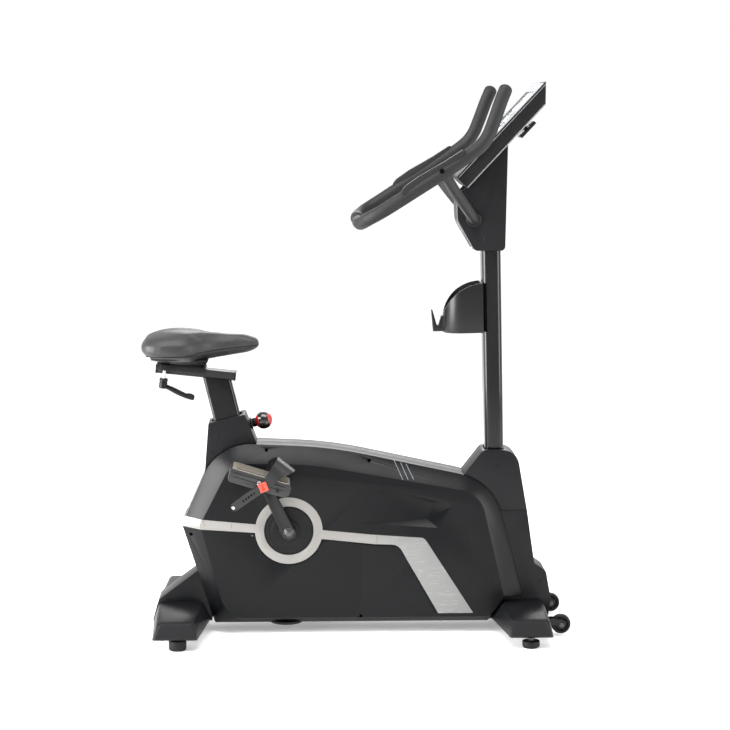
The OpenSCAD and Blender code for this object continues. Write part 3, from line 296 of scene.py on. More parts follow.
def soften(node, paint, width=0.0015, segments=2, corner=32):
    mesh = frame["nodes"][node].data.copy()
    shape = bmesh.new()
    shape.from_mesh(mesh)
    bmesh.ops.remove_doubles(shape, verts=shape.verts, dist=2e-6)
    bmesh.ops.dissolve_limit(shape, angle_limit=math.radians(0.6), verts=shape.verts, edges=shape.edges)
    shape.to_mesh(mesh)
    shape.free()
    thing = put_in_scene(node + "_finished", mesh, paint, node_body[node])
    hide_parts(node)
    if width:
        bevel = thing.modifiers.new("bevel", "BEVEL")
        bevel.width = width
        bevel.segments = segments
        bevel.limit_method = "ANGLE"
        bevel.angle_limit = math.radians(corner)
        bevel.use_clamp_overlap = True
        bake_modifiers(thing)
    smooth_by_angle(thing.data)
    return thing


soft_parts = {
    ("casing_plastic", 0.0015): ["shell_right", "shell_left"],
    ("cover_plastic", 0.0035): ["seat_tube_cover", "mast_cover_upper", "mast_cover_lower", "tail_cover",
                                "rear_foot_cover", "front_foot_cover", "neck_cover"],
    ("satin_paint", 0.0008): ["cup_holder"],
    ("dark_plastic", 0.0015): ["console_back", "crank_covers", "carriage", "saddle_pan", "post_bush",
                               "brake_motor",
                               "key_up", "key_down"],
    ("gloss_paint", 0.002): ["mast", "seat_post", "crank_arm_right", "crank_arm_left"],
    ("satin_paint", 0.0015): ["base_beam", "seat_tube", "mast_socket", "flywheel_bracket", "foot_tubes",
                              "wheel_brackets", "seat_rail", "brake_arm", "console_rest"],
    ("silver_trim", 0.0007): ["trim_strips"],
    ("dark_plastic", 0.0012): ["console_face"],
    ("key_green", 0.0012): ["key_start"],
    ("display_glass", 0.0008): ["display_lens"],
    ("foot_rubber", 0.003): ["rear_feet", "leveller_right", "leveller_left"],
    ("foot_rubber", 0.0008): ["drive_belt"],
    ("foam_rubber", 0.006): ["arm_pads"],
    ("pedal_plastic", 0.0045): ["pedal_right", "pedal_left"],
    ("bare_steel", 0.0008): ["crank_axle", "pedal_spindles", "crank_bearings", "flywheel_axle"],
    ("groove_black", 0.0004): ["casing_screws"],
    ("aluminium", 0.001): ["drive_pulley"],
    ("cast_iron", 0.0015): ["flywheel"],
}
softened = {}
for (paint, roll), parts in soft_parts.items():
    for part in parts:
        softened[part] = soften(part, paint, roll, 3 if roll > 0.003 else 2)
print(len(softened), "parts have soft edges")

# %% [markdown]
# ## Shapes that follow a path or turn about a line
# Tubes, straps and turned parts cover almost everything that is left. A tube is a ring of points
# carried along a smooth curve and closed with a dome, because rubber and bent steel never end in a
# flat cut; a turned part is a profile of radius and height spun about its axis, as a lathe makes it.
# Places are given in the design's own millimetres, with x measured from the crank's axis.

# %% Points, curves and closed skins
crank_x = sum(corner[0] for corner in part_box("crank_axle")) / 2
crank_z = sum(corner[2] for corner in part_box("crank_axle")) / 2 * 1000


def spot(x, y, z):
    return Vector((crank_x + x / 1000, y / 1000, z / 1000))


def flow(points, steps=6):
    """A smooth curve through all the points."""
    points = [Vector(p) for p in points]
    last = len(points) - 1
    path = []
    for i in range(last):
        a, b, c, d = points[max(i - 1, 0)], points[i], points[i + 1], points[min(i + 2, last)]
        for t in [k / steps for k in range(steps)]:
            path.append(0.5 * (2 * b + (c - a) * t + (2 * a - 5 * b + 4 * c - d) * t * t
                               + (3 * b - a - 3 * c + d) * t ** 3))
    return path + [points[-1]]


def closed_mesh(name, vertices, faces, angle=35):
    mesh = bpy.data.meshes.new(name)
    mesh.from_pydata([tuple(v) for v in vertices], [], faces)
    shape = bmesh.new()
    shape.from_mesh(mesh)
    bmesh.ops.remove_doubles(shape, verts=shape.verts, dist=1e-6)
    bmesh.ops.recalc_face_normals(shape, faces=shape.faces)
    shape.to_mesh(mesh)
    shape.free()
    smooth_by_angle(mesh, angle)
    return mesh


def skinned(name, rings, paint, body, node=None, angle=35):
    """A closed piece through rings of the same number of points."""
    count = len(rings[0])
    faces = [(i * count + k, i * count + (k + 1) % count, (i + 1) * count + (k + 1) % count,
              (i + 1) * count + k)
             for i in range(len(rings) - 1) for k in range(count)]
    faces += [tuple(range(count)), tuple(range((len(rings) - 1) * count, len(rings) * count))]
    thing = put_in_scene(name, closed_mesh(name, [v for ring in rings for v in ring], faces, angle), paint,
                         body)
    if node:
        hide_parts(node)
    return thing


def tube_rings(path, radius, sides=20, dome=(1, 1)):
    """Rings of a round bar along a path in metres; dome says which ends are rounded off."""
    lengths = [0.0]
    for a, b in zip(path, path[1:]):
        lengths.append(lengths[-1] + (b - a).length)
    rings = []
    for i, point in enumerate(path):
        ahead = (path[min(i + 1, len(path) - 1)] - path[max(i - 1, 0)]).normalized()
        side = ahead.cross(Vector((0, 0, 1)) if abs(ahead.z) < 0.95 else Vector((1, 0, 0))).normalized()
        up = side.cross(ahead)
        size = radius(lengths[i] / lengths[-1]) if callable(radius) else radius
        stations = [(0.0, 1.0)]
        if i == 0 and dome[0]:
            stations = [(-math.cos(t) * 0.8,
                         max(math.sin(t), 0.02)) for t in [k * math.pi / 12 for k in range(7)]]
        if i == len(path) - 1 and dome[1]:
            stations = [(math.cos(t) * 0.8,
                         max(math.sin(t), 0.02)) for t in [k * math.pi / 12 for k in range(6, -1, -1)]]
        for push, scale in stations:
            rings.append([point + ahead * push * size + size * scale
                          * (math.cos(a) * side + math.sin(a) * up)
                          for a in [k * math.tau / sides for k in range(sides)]])
    return rings


def tube(name, points, radius, paint, body, node=None, steps=6, sides=20, dome=(1, 1)):
    return skinned(name, tube_rings(flow(points, steps), radius, sides, dome), paint, body, node)


def turned(name, profile, centre, axis, paint, body, node=None, sides=48, angle=30):
    """A lathe part: profile is (radius, height) pairs in mm along the axis, which starts at the centre."""
    axis = Vector(axis).normalized()
    side = axis.orthogonal().normalized()
    up = axis.cross(side)
    rings = [[centre + axis * h / 1000 + max(r, 0.01) / 1000 * (math.cos(a) * side + math.sin(a) * up)
              for a in [k * math.tau / sides for k in range(sides)]] for r, h in profile]
    return skinned(name, rings, paint, body, node, angle)


print("the crank's axis is at x", round(crank_x, 4), "m and z", round(crank_z, 1), "mm")

# %% [markdown]
# ## Handlebar and grips
# One steel tube runs on each side from the low rear grips, along the arm rests and up into the
# horns, and the rubber covers it whole. The rubber is a dipped or drawn sleeve, so it is one skin with
# round ends. The support arms share its colour, with a moulded collar where they enter the neck.

# %% Bars, arms, collars and plugs
neck_half = 50
arm_x, arm_z = 492, 1110
bar_path = [(187, 84, 1106), (188, 120, 1106), (192, 165, 1108), (212, 206, 1122), (252, 228, 1146),
            (333, 240, 1198),
            (399, 240, 1240), (450, 237, 1274), (490, 231, 1304), (512, 224, 1332), (527, 219, 1368),
            (544, 212, 1416), (557, 206, 1448)]
arm_path = [(arm_x, 0, arm_z), (arm_x, 36, arm_z), (arm_x, 66, 1111), (484, 100, 1120), (460, 146, 1152),
            (430, 192, 1192),
            (407, 232, 1226), (401, 236, 1236)]


def on_side(points, side):
    return [spot(x, y * side, z) for x, y, z in points]


for side, word in ((-1, "right"), (1, "left")):
    grip = tube("grip_" + word, on_side(bar_path, side), 0.0175, "foam_rubber", "frame", sides=28)
    arm = tube("support_arm_" + word, on_side(arm_path, side), 0.0142, "bar_coating", "frame", sides=24,
               dome=(0, 0))
    for piece, node in ((grip, "grips"), (arm, "handlebar")):
        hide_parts(node)
    turned("arm_collar_" + word, [(14.6, -1), (20, -1), (21, 1), (20, 3.4), (17, 5), (14.6, 5)],
           spot(arm_x, side * neck_half, arm_z), (0, side, 0), "cover_plastic", "frame", angle=40)
    turned("pad_screw_" + word, [(6.2, -3), (6.2, 1.2), (5.6, 1.8), (4, 1.8), (3.6, 0.2), (0, 0.2)],
           spot(393, side * 256.4, 1243.6), (-0.11, side * 0.97, 0.22), "groove_black", "frame", sides=24)
    tube("grip_seam_" + word,
         [p + Vector((0.012, side * 0.0126, -0.005)) for p in on_side(bar_path[4:8], side)],
         0.0006, "dark_plastic", "frame", sides=6)
print("bars, arms and collars are on")

# %% [markdown]
# ## Cranks and pedals
# A cover disc in three shallow steps fills each trim ring. The crank arm's end is closed by a turned
# steel cap. Each pedal is a weighted plastic block with a ribbed tread, and its strap is a
# moulded rubber band: narrow at the buckle, flared over the toes, and with a raised rim so that it
# springs open. The strap is a ribbon swept through the same stops as the frame's.

# %% Discs, caps and bosses
for side, word in ((-1, "right"), (1, "left")):
    face = (0, side, 0)
    for inner, outer, low, high in ((52, 60, 88.6, 89.8), (30, 46, 88.6, 90.4)):
        turned(f"disc_step_{outer}_{word}",
               [(inner, low), (outer, low), (outer, high - 0.4), (outer - 0.6, high),
                                             (inner + 0.6, high), (inner, high - 0.4)],
               spot(0, 0, crank_z), face, "dark_plastic", "frame", sides=72)
    turned("hub_boss_" + word, [(13, 88), (25, 88), (24, 95), (22, 97), (13, 97)], spot(0, 0, crank_z), face,
           "dark_plastic", "frame", sides=56)
    turned("crank_cap_" + word, [(4, 116), (13, 117.6), (13.4, 119), (12.4, 120), (11.4, 120), (10.6, 119.2),
                                 (9.8, 121.2), (7.5, 122.8), (4, 123.6), (0, 123.8)],
           spot(0, 0, crank_z), face, "bolt_steel", "crank", sides=48)
print("discs and caps are turned")

# %% Pedals and their straps
pedal_tilt = math.radians(17)
strap_stops = [(16, -3, 16, 9, 30), (22, -3, 28, 13, 28), (28, 3, 42, 20, 24), (51, 26, 59, 27, 21),
               (51, 74, 59, 27, 21),
               (33, 97, 36, 18, 28), (12, 101, -5, 12, 38), (-20, 101, -45, 11.5, 38),
               (-50, 101, -85, 11, 38)]


def pedal_place(side):
    """Turns a pedal's own measures (along, out, up) in mm into a place.
    The left pedal is half a turn round."""
    eye = spot(-74.52 * -side * 1, 0, crank_z + 152.8 * -side)

    def put(along, out, up):
        turn = Matrix.Rotation(pedal_tilt, 3, "Y") @ Vector((along, 0, up)) / 1000
        return eye + turn + Vector((0, side * (125 + out) / 1000, 0))
    return put


def slab_piece(name, put, outline, low, high, paint, body, roll=0.4):
    """A plate in a pedal's own measures: outline is (along, out) corners, low and high its faces."""
    middle = [sum(c) / len(outline) for c in zip(*outline)]
    rings = [[put(*(m + (c - m) * k for c, m in zip(corner, middle)), up) for corner in outline]
             for up, k in ((low, 1), (high - roll, 1), (high, 1 - roll / 30))]
    return skinned(name, rings, paint, body, angle=30)


for side, word in ((-1, "right"), (1, "left")):
    put, body = pedal_place(side), "pedal_" + word
    slab_piece("tread_plate_" + word, put,
               [(-78, 5), (-70, 1), (68, 1), (76, 7), (76, 91), (68, 97), (-70, 97), (-78, 93)],
               16.5, 20.2, "tread_tan", body)
    for k in range(5):
        v = 13 + 16.2 * k
        slab_piece(f"tread_rib_{k}_{word}", put, [(-68, v), (66, v), (66, v + 8), (-68, v + 8)], 20, 21.8,
                   "tread_tan", body)
        slab_piece(f"tread_groove_{k}_{word}", put,
                   [(-68, v + 9.5), (66, v + 9.5), (66, v + 12.5), (-68, v + 12.5)], 20,
                   20.6, "groove_black", body)
    for k, up in enumerate((9, -2)):
        slab_piece(f"pedal_line_{k}_{word}", put, [(-70, 96), (66, 96), (66, 98.4), (-70, 98.4)], up,
                   up + 1.4,
                   "groove_black", body)
    centres = flow([stop[:3] for stop in strap_stops], 6)
    sizes = flow([(stop[3], stop[4], 0) for stop in strap_stops], 6)
    rings = []
    for i, (centre, (width, lean, _)) in enumerate(zip(centres, sizes)):
        across = Vector((math.cos(math.radians(lean)), 0, -math.sin(math.radians(lean))))
        ahead = (centres[min(i + 1, len(centres) - 1)] - centres[max(i - 1, 0)]).normalized()
        if i > len(centres) - 4:
            width *= (0.97, 0.85, 0.55)[i - len(centres) + 3]
        out = across.cross(ahead).normalized()
        cut = [(-1, -1), (-1, 2.3), (-0.9, 2.6), (-0.82, 2.3), (-0.78, 1.2), (0.78, 1.2), (0.82, 2.3),
               (0.9, 2.6), (1, 2.3), (1, -1)]
        flare = min(max((width - 12) / 8, 0), 1)
        rings.append([put(*(centre + across * s * width
                            - out * (t if t < 1.3 else 1.2 + (t - 1.2) * (0.35 + 0.65 * flare))))
                      for s, t in cut])
    skinned("toe_strap_" + word, rings, "strap_rubber", body, "strap_" + word, angle=50)
    direction = Vector((-62, 0, -80)).normalized()
    for k in range(5):
        hole = Vector((-6, 102.6, -28)) + direction * 8.5 * k
        turned(f"strap_hole_{k}_{word}", [(2.6, -1), (2.6, 0.3), (1.6, 0.3), (1.6, -0.4), (0, -0.4)],
               put(*hole), (0, side, 0),
               "groove_black", body, sides=16)
    turned("strap_rivet_" + word, [(4, -1), (4, 0.8), (3, 1.8), (1.4, 2.2), (0, 2.3)],
           put(-46.5, 102.4, -80.5), (0, side, 0),
           "bare_steel", body, sides=24)
    turned("strap_anchor_" + word, [(5.5, -1), (5.5, 2), (4, 3), (0, 3)], put(50, 98, -4), (0, side, 0),
           "dark_plastic",
           body, sides=24)
    soften("buckle_" + word, "buckle_orange", 0.0016, 3)
print("pedals are dressed")

# %% A tree for rays
def tree_of(thing):
    """A search tree of a piece's faces, so that a ray can find its surface."""
    shape = bmesh.new()
    shape.from_mesh(thing.data)
    tree = BVHTree.FromBMesh(shape)
    shape.free()
    return tree


print("rays can find a surface")

# %% [markdown]
# ## The saddle
# A comfort saddle is foam under stretched vinyl: wide lobes under the sitting bones, a long nose, and
# a shallow channel between. The cover is the one stuffed piece here, so it is made as one is: a
# smaller start shape is inflated as cloth until the skin is tight, and its swell is limited so
# that it stays on its base. The stitched edge line and the base come after, laid on the finished skin.

# %% The saddle's start shape
saddle_stations = [(-392, 60, 760, 784), (-380, 90, 750, 798), (-354, 107, 743, 804),
                   (-320, 114, 741, 807), (-290, 113, 740, 808), (-262, 104, 740, 807),
                   (-238, 84, 742, 805), (-215, 61, 745, 802), (-190, 46, 749, 800), (-160, 37, 753, 798),
                   (-130, 32, 758, 797), (-100, 29, 762, 795), (-80, 24, 765, 792), (-72, 14, 769, 786)]


def saddle_ring(x, half, low, high, sides=44):
    ring = []
    for k in range(sides):
        a = k * math.tau / sides
        c, d = math.cos(a), math.sin(a)
        y = half * math.copysign(abs(c) ** 0.72, c)
        z = (low + high) / 2 + (high - low) / 2 * math.copysign(abs(d) ** (0.8 if d > 0 else 0.45), d)
        if d > 0:
            z -= 4.5 * math.exp(-(y / 13) ** 2) * min(max((x + 383) / 40, 0), 1) * min(max((-95 - x) / 60, 0),
                1)
        ring.append(spot(x, y, z))
    return ring


stations = [tuple(v) + (h.x,) for v, h in zip(flow([c[:3] for c in saddle_stations], 3),
                                              flow([(c[3], 0, 0) for c in saddle_stations], 3))]
saddle = skinned("saddle_cover", [saddle_ring(*c) for c in stations], "seat_vinyl", "carriage", "saddle",
                 angle=180)
print("the start shape has", len(saddle.data.vertices), "points")


# %% Inflate the cover
def inflate(thing, voxel, pressure, most):
    """Remeshes, blows up as cloth for 20 frames with no gravity, and limits how far any point moves."""
    remesh = thing.modifiers.new("remesh", "REMESH")
    remesh.mode = "VOXEL"
    remesh.voxel_size = voxel
    bake_modifiers(thing)
    start = [v.co.copy() for v in thing.data.vertices]
    cloth = thing.modifiers.new("cloth", "CLOTH")
    rules = cloth.settings
    rules.quality, rules.mass = 6, 0.3
    rules.tension_stiffness = rules.compression_stiffness = 15
    rules.shear_stiffness, rules.bending_stiffness = 5, 0.5
    rules.use_pressure, rules.uniform_pressure_force = True, pressure
    rules.effector_weights.gravity = 0
    for step in range(1, 21):
        scene.frame_set(step)
    bake_modifiers(thing)
    scene.frame_set(1)
    moved = 0
    for vertex, before in zip(thing.data.vertices, start):
        shift = vertex.co - before
        if shift.length > most:
            vertex.co = before + shift * (most / shift.length)
        moved = max(moved, min(shift.length, most))
    return moved


swell = inflate(saddle, 0.0055, 4, 0.008)
print("the cover swelled by at most", round(swell * 1000, 1), "mm")

# %% Crease, smooth and cover the skin
crease_z = 0.788
for vertex in saddle.data.vertices:
    lobe = min(max((crank_x - 0.2 - vertex.co.x) / 0.05, 0), 1)
    depth = 0.0022 * lobe * math.exp(-((vertex.co.z - crease_z - 0.12 * max(vertex.co.x - crank_x + 0.3,
        0)) / 0.004) ** 2)
    vertex.co -= Vector(vertex.normal) * depth
smoother = saddle.modifiers.new("smooth", "CORRECTIVE_SMOOTH")
smoother.iterations = 3
smoother.use_only_smooth = True
finer = saddle.modifiers.new("finer", "SUBSURF")
finer.levels = finer.render_levels = 1
bake_modifiers(saddle)
for polygon in saddle.data.polygons:
    polygon.use_smooth = True
saddle.data.materials.clear()
saddle.data.materials.append(finishes["seat_vinyl"])
print("the cover has", len(saddle.data.polygons), "faces")


# %% Edge line and base plate
def saddle_outline(shrink, up):
    """Points round the saddle, seen from above, at a height given as up(x)."""
    left = [(max(x, -392 + 1.2 * shrink), half) for x, half, _, _ in stations]
    rim = [(x, h - shrink) for x, h in left if h > shrink + 4]
    rim += [(x, shrink - h) for x, h in reversed(left) if h > shrink + 4]
    return [(x, y, up(x)) for x, y in rim]


def under(x):
    return 745 + 0.1 * max(x + 300, 0)


base_rings = [[spot(x, y, z) for x, y, z in saddle_outline(shrink, lambda x, lift=lift: under(x) + lift)]
              for shrink, lift in ((24, 8), (24, 2), (26, -4), (34, -7))]
fewest = min(len(ring) for ring in base_rings)
base_rings = [ring[:fewest // 2] + ring[len(ring) - fewest // 2:] for ring in base_rings]
skinned("saddle_base", base_rings, "dark_plastic", "carriage", angle=40)
skin_tree = tree_of(saddle)
stitch = []
for x, y, _ in saddle_outline(0, under):
    inner = spot(-250, 0, 752) if x < -240 else spot(x - 12, 0, under(x) + 7)
    outward = spot(x, y * 1.3, under(x) + 7) - inner
    place, normal, _, _ = skin_tree.ray_cast(inner, outward.normalized())
    if place:
        stitch.append(place + normal * 0.0002)
stitch.append(stitch[0])
tube("saddle_edge_cord", stitch, 0.0013, "dark_plastic", "carriage", steps=2, sides=8, dome=(0, 0))
print("the edge line has", len(stitch), "points")

# %% [markdown]
# ## Knob, lever and seat hardware
# The pull knob is a ball turned in black with a red cap at each end, on a black collar. The clamp lever
# is a die-cast handle: a short hub on a bright stud, and an arm that thickens towards its tip.

# %% Pull knob
tilt = math.radians(13.5)
post_foot = spot(-165, 0, 576)
ball_out, ball_drop = 0.094, 0.03
ball_r, cap_r = 24, 23.7
out_of_post = Vector((math.cos(tilt), 0, math.sin(tilt)))
up_post = Vector((-math.sin(tilt), 0, math.cos(tilt)))
ball = post_foot - up_post * ball_drop + out_of_post * ball_out


def arc(radius, first, last, count):
    """Part of a ball's profile, from and to a distance along its axis."""
    steps = [first + (last - first) * k / count for k in range(count + 1)]
    return [(math.sqrt(max(radius ** 2 - h ** 2, 0)), h) for h in steps]


turned("pull_knob_ball", [(20.2, -13.2)] + arc(ball_r, -13, 13, 14) + [(20.2, 13.2)], ball, out_of_post,
       "knob_black", "pull_knob", "pull_knob", angle=40)
turned("pull_knob_cap", [(0, 12)] + [(20, 12)] + arc(cap_r, 13.2, cap_r, 10), ball, out_of_post, "red_plastic",
       "pull_knob", angle=40)
turned("pull_knob_back", arc(cap_r, -21, -13.2, 8) + [(20, -12), (0, -12)], ball, out_of_post, "red_plastic",
       "pull_knob", angle=40)
turned("pull_knob_collar", [(6, -58), (6, -32), (11, -31), (12, -29), (12, -22), (10, -19.5), (0, -19.5)],
       ball, out_of_post, "dark_plastic", "pull_knob")
turned("pull_knob_stem", [(0, -59.6), (5.4, -59.6), (6, -58.6), (6, -30), (0, -30)], ball, out_of_post,
       "bare_steel", "pull_knob")
turned("knob_housing_lip", [(12, -36), (15, -36), (16, -34), (15, -32), (12, -32)], ball, out_of_post,
       "satin_paint", "frame")
print("the knob stands at", tuple(round(c, 3) for c in ball))

# %% Clamp lever and seat hardware
rail_tilt = math.radians(6)
post_out = 0.11
post_top = post_foot + up_post * post_out
rail_turn = Matrix.Rotation(rail_tilt, 3, "Y")


def on_rail(u, y, w):
    return post_top + rail_turn @ Vector((u, y, w)) / 1000


down_rail = rail_turn @ Vector((0, 0, -1))
lever_u, lever_y = -140, -38
turned("lever_stud", [(0, -22), (4, -22), (4, 14), (0, 14)], on_rail(lever_u, lever_y, 0), down_rail,
       "bare_steel", "clamp_lever")
turned("lever_hub",
       [(4, 9), (10, 9), (11, 10.5), (11, 17), (10, 18), (10, 20), (11, 21), (11, 34), (9.5, 36), (0, 36)],
       on_rail(lever_u, lever_y, 0), down_rail, "dark_plastic", "clamp_lever", "clamp_lever")
tube("lever_arm",
     [on_rail(u, lever_y, w) for u, w in ((-138, -29), (-122, -34), (-96, -44), (-72, -52), (-59, -54))],
     lambda t: 0.0052 + 0.0016 * math.sin(min(t * 1.15, 1) * math.pi) + 0.0012 * t, "dark_plastic",
     "clamp_lever", sides=20)
tube("lever_tip", [on_rail(u, lever_y, w) for u, w in ((-76, -48), (-66, -47), (-58, -50))], 0.0046,
     "dark_plastic", "clamp_lever",
     sides=16)
for end, u in (("rear", -160), ("front", -34)):
    for y in (-24, 24):
        turned(f"carriage_screw_{end}_{y + 24}",
               [(0, -2), (4, -2), (4, 1.4), (3.2, 2.2), (1.8, 2.2), (1.6, 0.8), (0, 0.8)],
               on_rail(u, y, 27), rail_turn @ Vector((-1 if end == "rear" else 1, 0, 0)), "bolt_steel",
               "carriage", sides=20)
for end, u, face in (("rear", -162, -1), ("front", 46, 1)):
    skinned("rail_cap_" + end, [[on_rail(u + face * d, y * k, 11.5 + (z - 11.5) * k) for y, z in
                                 ((-25, 23), (25, 23), (25, 17), (15, 16), (15, 0), (-15, 0), (-15, 16),
                                  (-25, 17))]
                                for d, k in ((-1, 1.03), (2.4, 1.03), (3.4, 0.94))], "dark_plastic",
                                "seat_post", angle=30)
print("lever and hardware are on")

# %% [markdown]
# ## Lines, lips and screws on the covers
# The side panels are plain, so their small features carry the scale: a raised lip that follows the
# lower side of the ring and strip, three short ribs moulded in the upper band, the joints of
# the strip's three lengths, screws sunk in dark holes, and a fine seam on the seat tube's cover.
# Each is a thin tube or a turned disc laid on the panel's own surface, found by a ray from outside. The ribs
# are light grey, a painted highlight, though they are moulded in the panel's black plastic.

# %% Panel lines
def surface(node):
    """A finder for a softened panel. It returns the point hit from outside on the given side, and the
    outward normal there."""
    tree = tree_of(softened[node])

    def find(x, z, side, out=0.6):
        place, normal, _, _ = tree.ray_cast(spot(x, side * 300, z), Vector((0, -side, 0)))
        return (place + normal * out / 1000, normal) if place else (None, None)
    return find


lip_path = [(90.5 * math.cos(math.radians(a)) * 1.035,
             crank_z + 93.8 * math.sin(math.radians(a))) for a in range(197, 341, 9)]
lip_path += [(100, crank_z - 27), (160, crank_z - 33), (228, crank_z - 42), (270, crank_z - 44.5),
             (288, crank_z - 47),
             (301, crank_z - 58), (330, crank_z - 112), (362, crank_z - 172), (392, crank_z - 228)]
rib_ends = [((282, 467), (304, 420)), ((300, 460), (318, 420)), ((314, 457), (333, 420))]
for side, word in ((-1, "right"), (1, "left")):
    panel = surface("shell_" + word)
    path = [panel(x, z, side, 0.2)[0] for x, z in lip_path]
    tube("ring_lip_" + word, [p for p in path if p], 0.0024, "casing_plastic", "frame", steps=3, sides=10)
    # the ribs are light grey: a painted highlight on ribs of the same black plastic as the panel
    for k, (upper, lower) in enumerate(rib_ends):
        path = [panel(upper[0] + (lower[0] - upper[0]) * t / 6, upper[1] + (lower[1] - upper[1]) * t / 6,
                      side, 0.2)[0]
                for t in range(7)]
        tube(f"band_rib_{k}_{word}", [p for p in path if p], 0.0008, "face_grey", "frame", steps=2, sides=8)
    strip = surface("trim_strips")
    for k, (x, low, high) in enumerate(((235.2, 247.5, 269.5), (-152, 279, 304), (-228, 283, 314))):
        ends = [strip(x + (high - z) * (0.3 if k == 2 else 0), z, side, -0.15)[0] for z in (low,
            (low + high) / 2, high)]
        tube(f"strip_joint_{k}_{word}", [p for p in ends if p], 0.00035, "groove_black", "frame", steps=2,
             sides=6)
print("the panels have their lines")

# %% Screws in their holes
screw_holes = [("seat_tube_cover", -203, 488), ("mast_cover_lower", 677, 133), ("tail_cover", -326, 92),
               ("neck_cover", 571, 1179),
               ("neck_cover", 470, 1200), ("seat_tube_cover", -140, 520), ("mast_cover_upper", 560, 450)]
for node, x, z in screw_holes:
    find = surface(node)
    for side, word in ((-1, "right"), (1, "left")):
        place, normal = find(x, z, side, 0)
        if place:
            turned(f"sunk_screw_{node}_{round(x)}_{word}",
                   [(4.6, -2), (4.6, 0.25), (3.9, 0.4), (3.5, -0.6), (2.6, -0.8),
                                                            (2.2, -0.3), (1, -0.3), (0.8, -0.9), (0, -0.9)],
                   place, normal, "groove_black", "frame", sides=24)
for side, word in ((-1, "right"), (1, "left")):
    find = surface("shell_" + word)
    for k, (x, z) in enumerate(((-201, 44), (-97, 271))):
        place, normal = find(x, z, side, 0)
        if place:
            turned(f"bright_rivet_{k}_{word}", [(2.6, -1), (2.6, 0.4), (1.8, 1.1), (0, 1.4)], place, normal,
                   "bolt_steel",
                   "frame", sides=20)
print("the screws are in")

# %% Seams on the neck and the console, and the belly's boss
# The neck seam is a thin raised line drawn in light grey, a painted highlight along the seam; the fold beside
# it keeps the cover's own plastic.
for side, word in ((-1, "right"), (1, "left")):
    tube("neck_seam_painted_highlight_" + word,
         [spot(x, side * 50.2, z) for x, z in
          ((447, 1150), (449, 1112), (456, 1092), (474, 1062), (491, 1032))],
         0.0014, "painted_highlight_trim", "frame", sides=8)
    tube("neck_fold_" + word,
         [spot(x, side * 50.0, z) for x, z in ((500, 1082), (512, 1074), (519, 1060), (523, 1048))],
         0.0007, "cover_plastic", "frame", sides=6)
turned("belly_boss", [(46, -3), (46, 2), (43, 4.4), (0, 4.8)], spot(-8, -30, 26), (0, 0, -1), "cover_plastic",
       "frame", sides=56)
print("seams are drawn")

# %% Seams on the seat tube's cover
edge_runs = [[(-186, 540), (-196, 500), (-203, 455)], [(-120, 560), (-112, 520), (-106, 480)]]
widest_gap = 0.03
count = 0
find = surface("seat_tube_cover")
for k, run in enumerate(edge_runs):
    for side, word in ((-1, "right"), (1, "left")):
        places = [p[:2] for p in flow([(x, z, 0) for x, z in run], 5)]
        line = [p for p in (find(x, z, side, 0.1)[0] for x, z in places) if p]
        gaps = [i for i in range(1, len(line)) if (line[i] - line[i - 1]).length > widest_gap]
        line = line[:gaps[0]] if gaps else line
        if len(line) > 3:
            tube(f"seam_seat_tube_cover_{k}_{word}", line, 0.0007, "casing_plastic", "frame", steps=2,
                 sides=8)
            count += 1
print("there are", count, "seams")

# %% [markdown]
# ## The console
# The console is a two-part box: a light face with a dark glass window and three keys, and a dark back
# with vent slots and screws. Its window shows unlit display digits, which are thin plates just
# under the gloss. The keys carry plain marks: a ring to start, and arrows up and down.

# %% Console pieces
console_lean = math.radians(-47)
face_turn = Matrix.Rotation(console_lean, 3, "Y")
console_foot = spot(442, 0, 1226)


def on_face(u, v, w):
    """u up the face, v to the rider's left, w out towards the rider."""
    return console_foot + face_turn @ Vector((u, v, w)) / 1000


def plate(name, corners, low, high, paint, body="frame", inset=0.4):
    middle = [sum(c) / len(corners) for c in zip(*corners)]
    rings = []
    for w, cut in ((low, 0), (high - inset, 0), (high, inset)):
        ring = []
        for u, v in corners:
            away = Vector((u - middle[0], v - middle[1]))
            away -= away.normalized() * cut
            ring.append(on_face(middle[0] + away.x, middle[1] + away.y, w))
        rings.append(ring)
    return skinned(name, rings, paint, body, angle=30)


def box_corners(u0, u1, v0, v1, cut=0.0):
    if not cut:
        return [(u0, v0), (u1, v0), (u1, v1), (u0, v1)]
    return [(u0 + cut, v0), (u1 - cut, v0), (u1, v0 + cut), (u1, v1 - cut), (u1 - cut, v1), (u0 + cut, v1),
            (u0, v1 - cut),
            (u0, v0 + cut)]


for word, corners in (("foot", (128, 149, -124, 124)), ("head", (297, 327, -124, 124)),
                      ("right", (149, 297, -124, -93.4)),
                      ("left", (149, 297, 93.4, 124))):
    plate("window_frame_" + word, box_corners(*corners), -1, 1.8, "face_grey", inset=0.8)
count = 0
for row, (u, size, digits) in enumerate(((262, 1.0, 4), (222, 0.8, 6), (184, 0.8, 6))):
    for k in range(digits):
        v = (k - (digits - 1) / 2) * (38 if digits == 4 else 27)
        for shift in (-11, 0, 11):
            plate(f"digit_{row}_{k}_{shift + 11}",
                  box_corners(u + (shift - 1.3) * size, u + (shift + 1.3) * size, v - 5 * size,
                                                               v + 5 * size, 0.9), -0.7, -0.45,
                                                               "display_segment", inset=0.1)
        for shift in (-5.5, 5.5):
            for edge in (-7, 7):
                plate(f"stroke_{row}_{k}_{edge + 7}_{int(shift > 0)}",
                      box_corners(u + (shift - 3.9) * size, u + (shift + 3.9) * size, v + (edge - 1.2) * size,
                                  v + (edge + 1.2) * size, 0.9), -0.7, -0.45, "display_segment", inset=0.1)
        count += 7
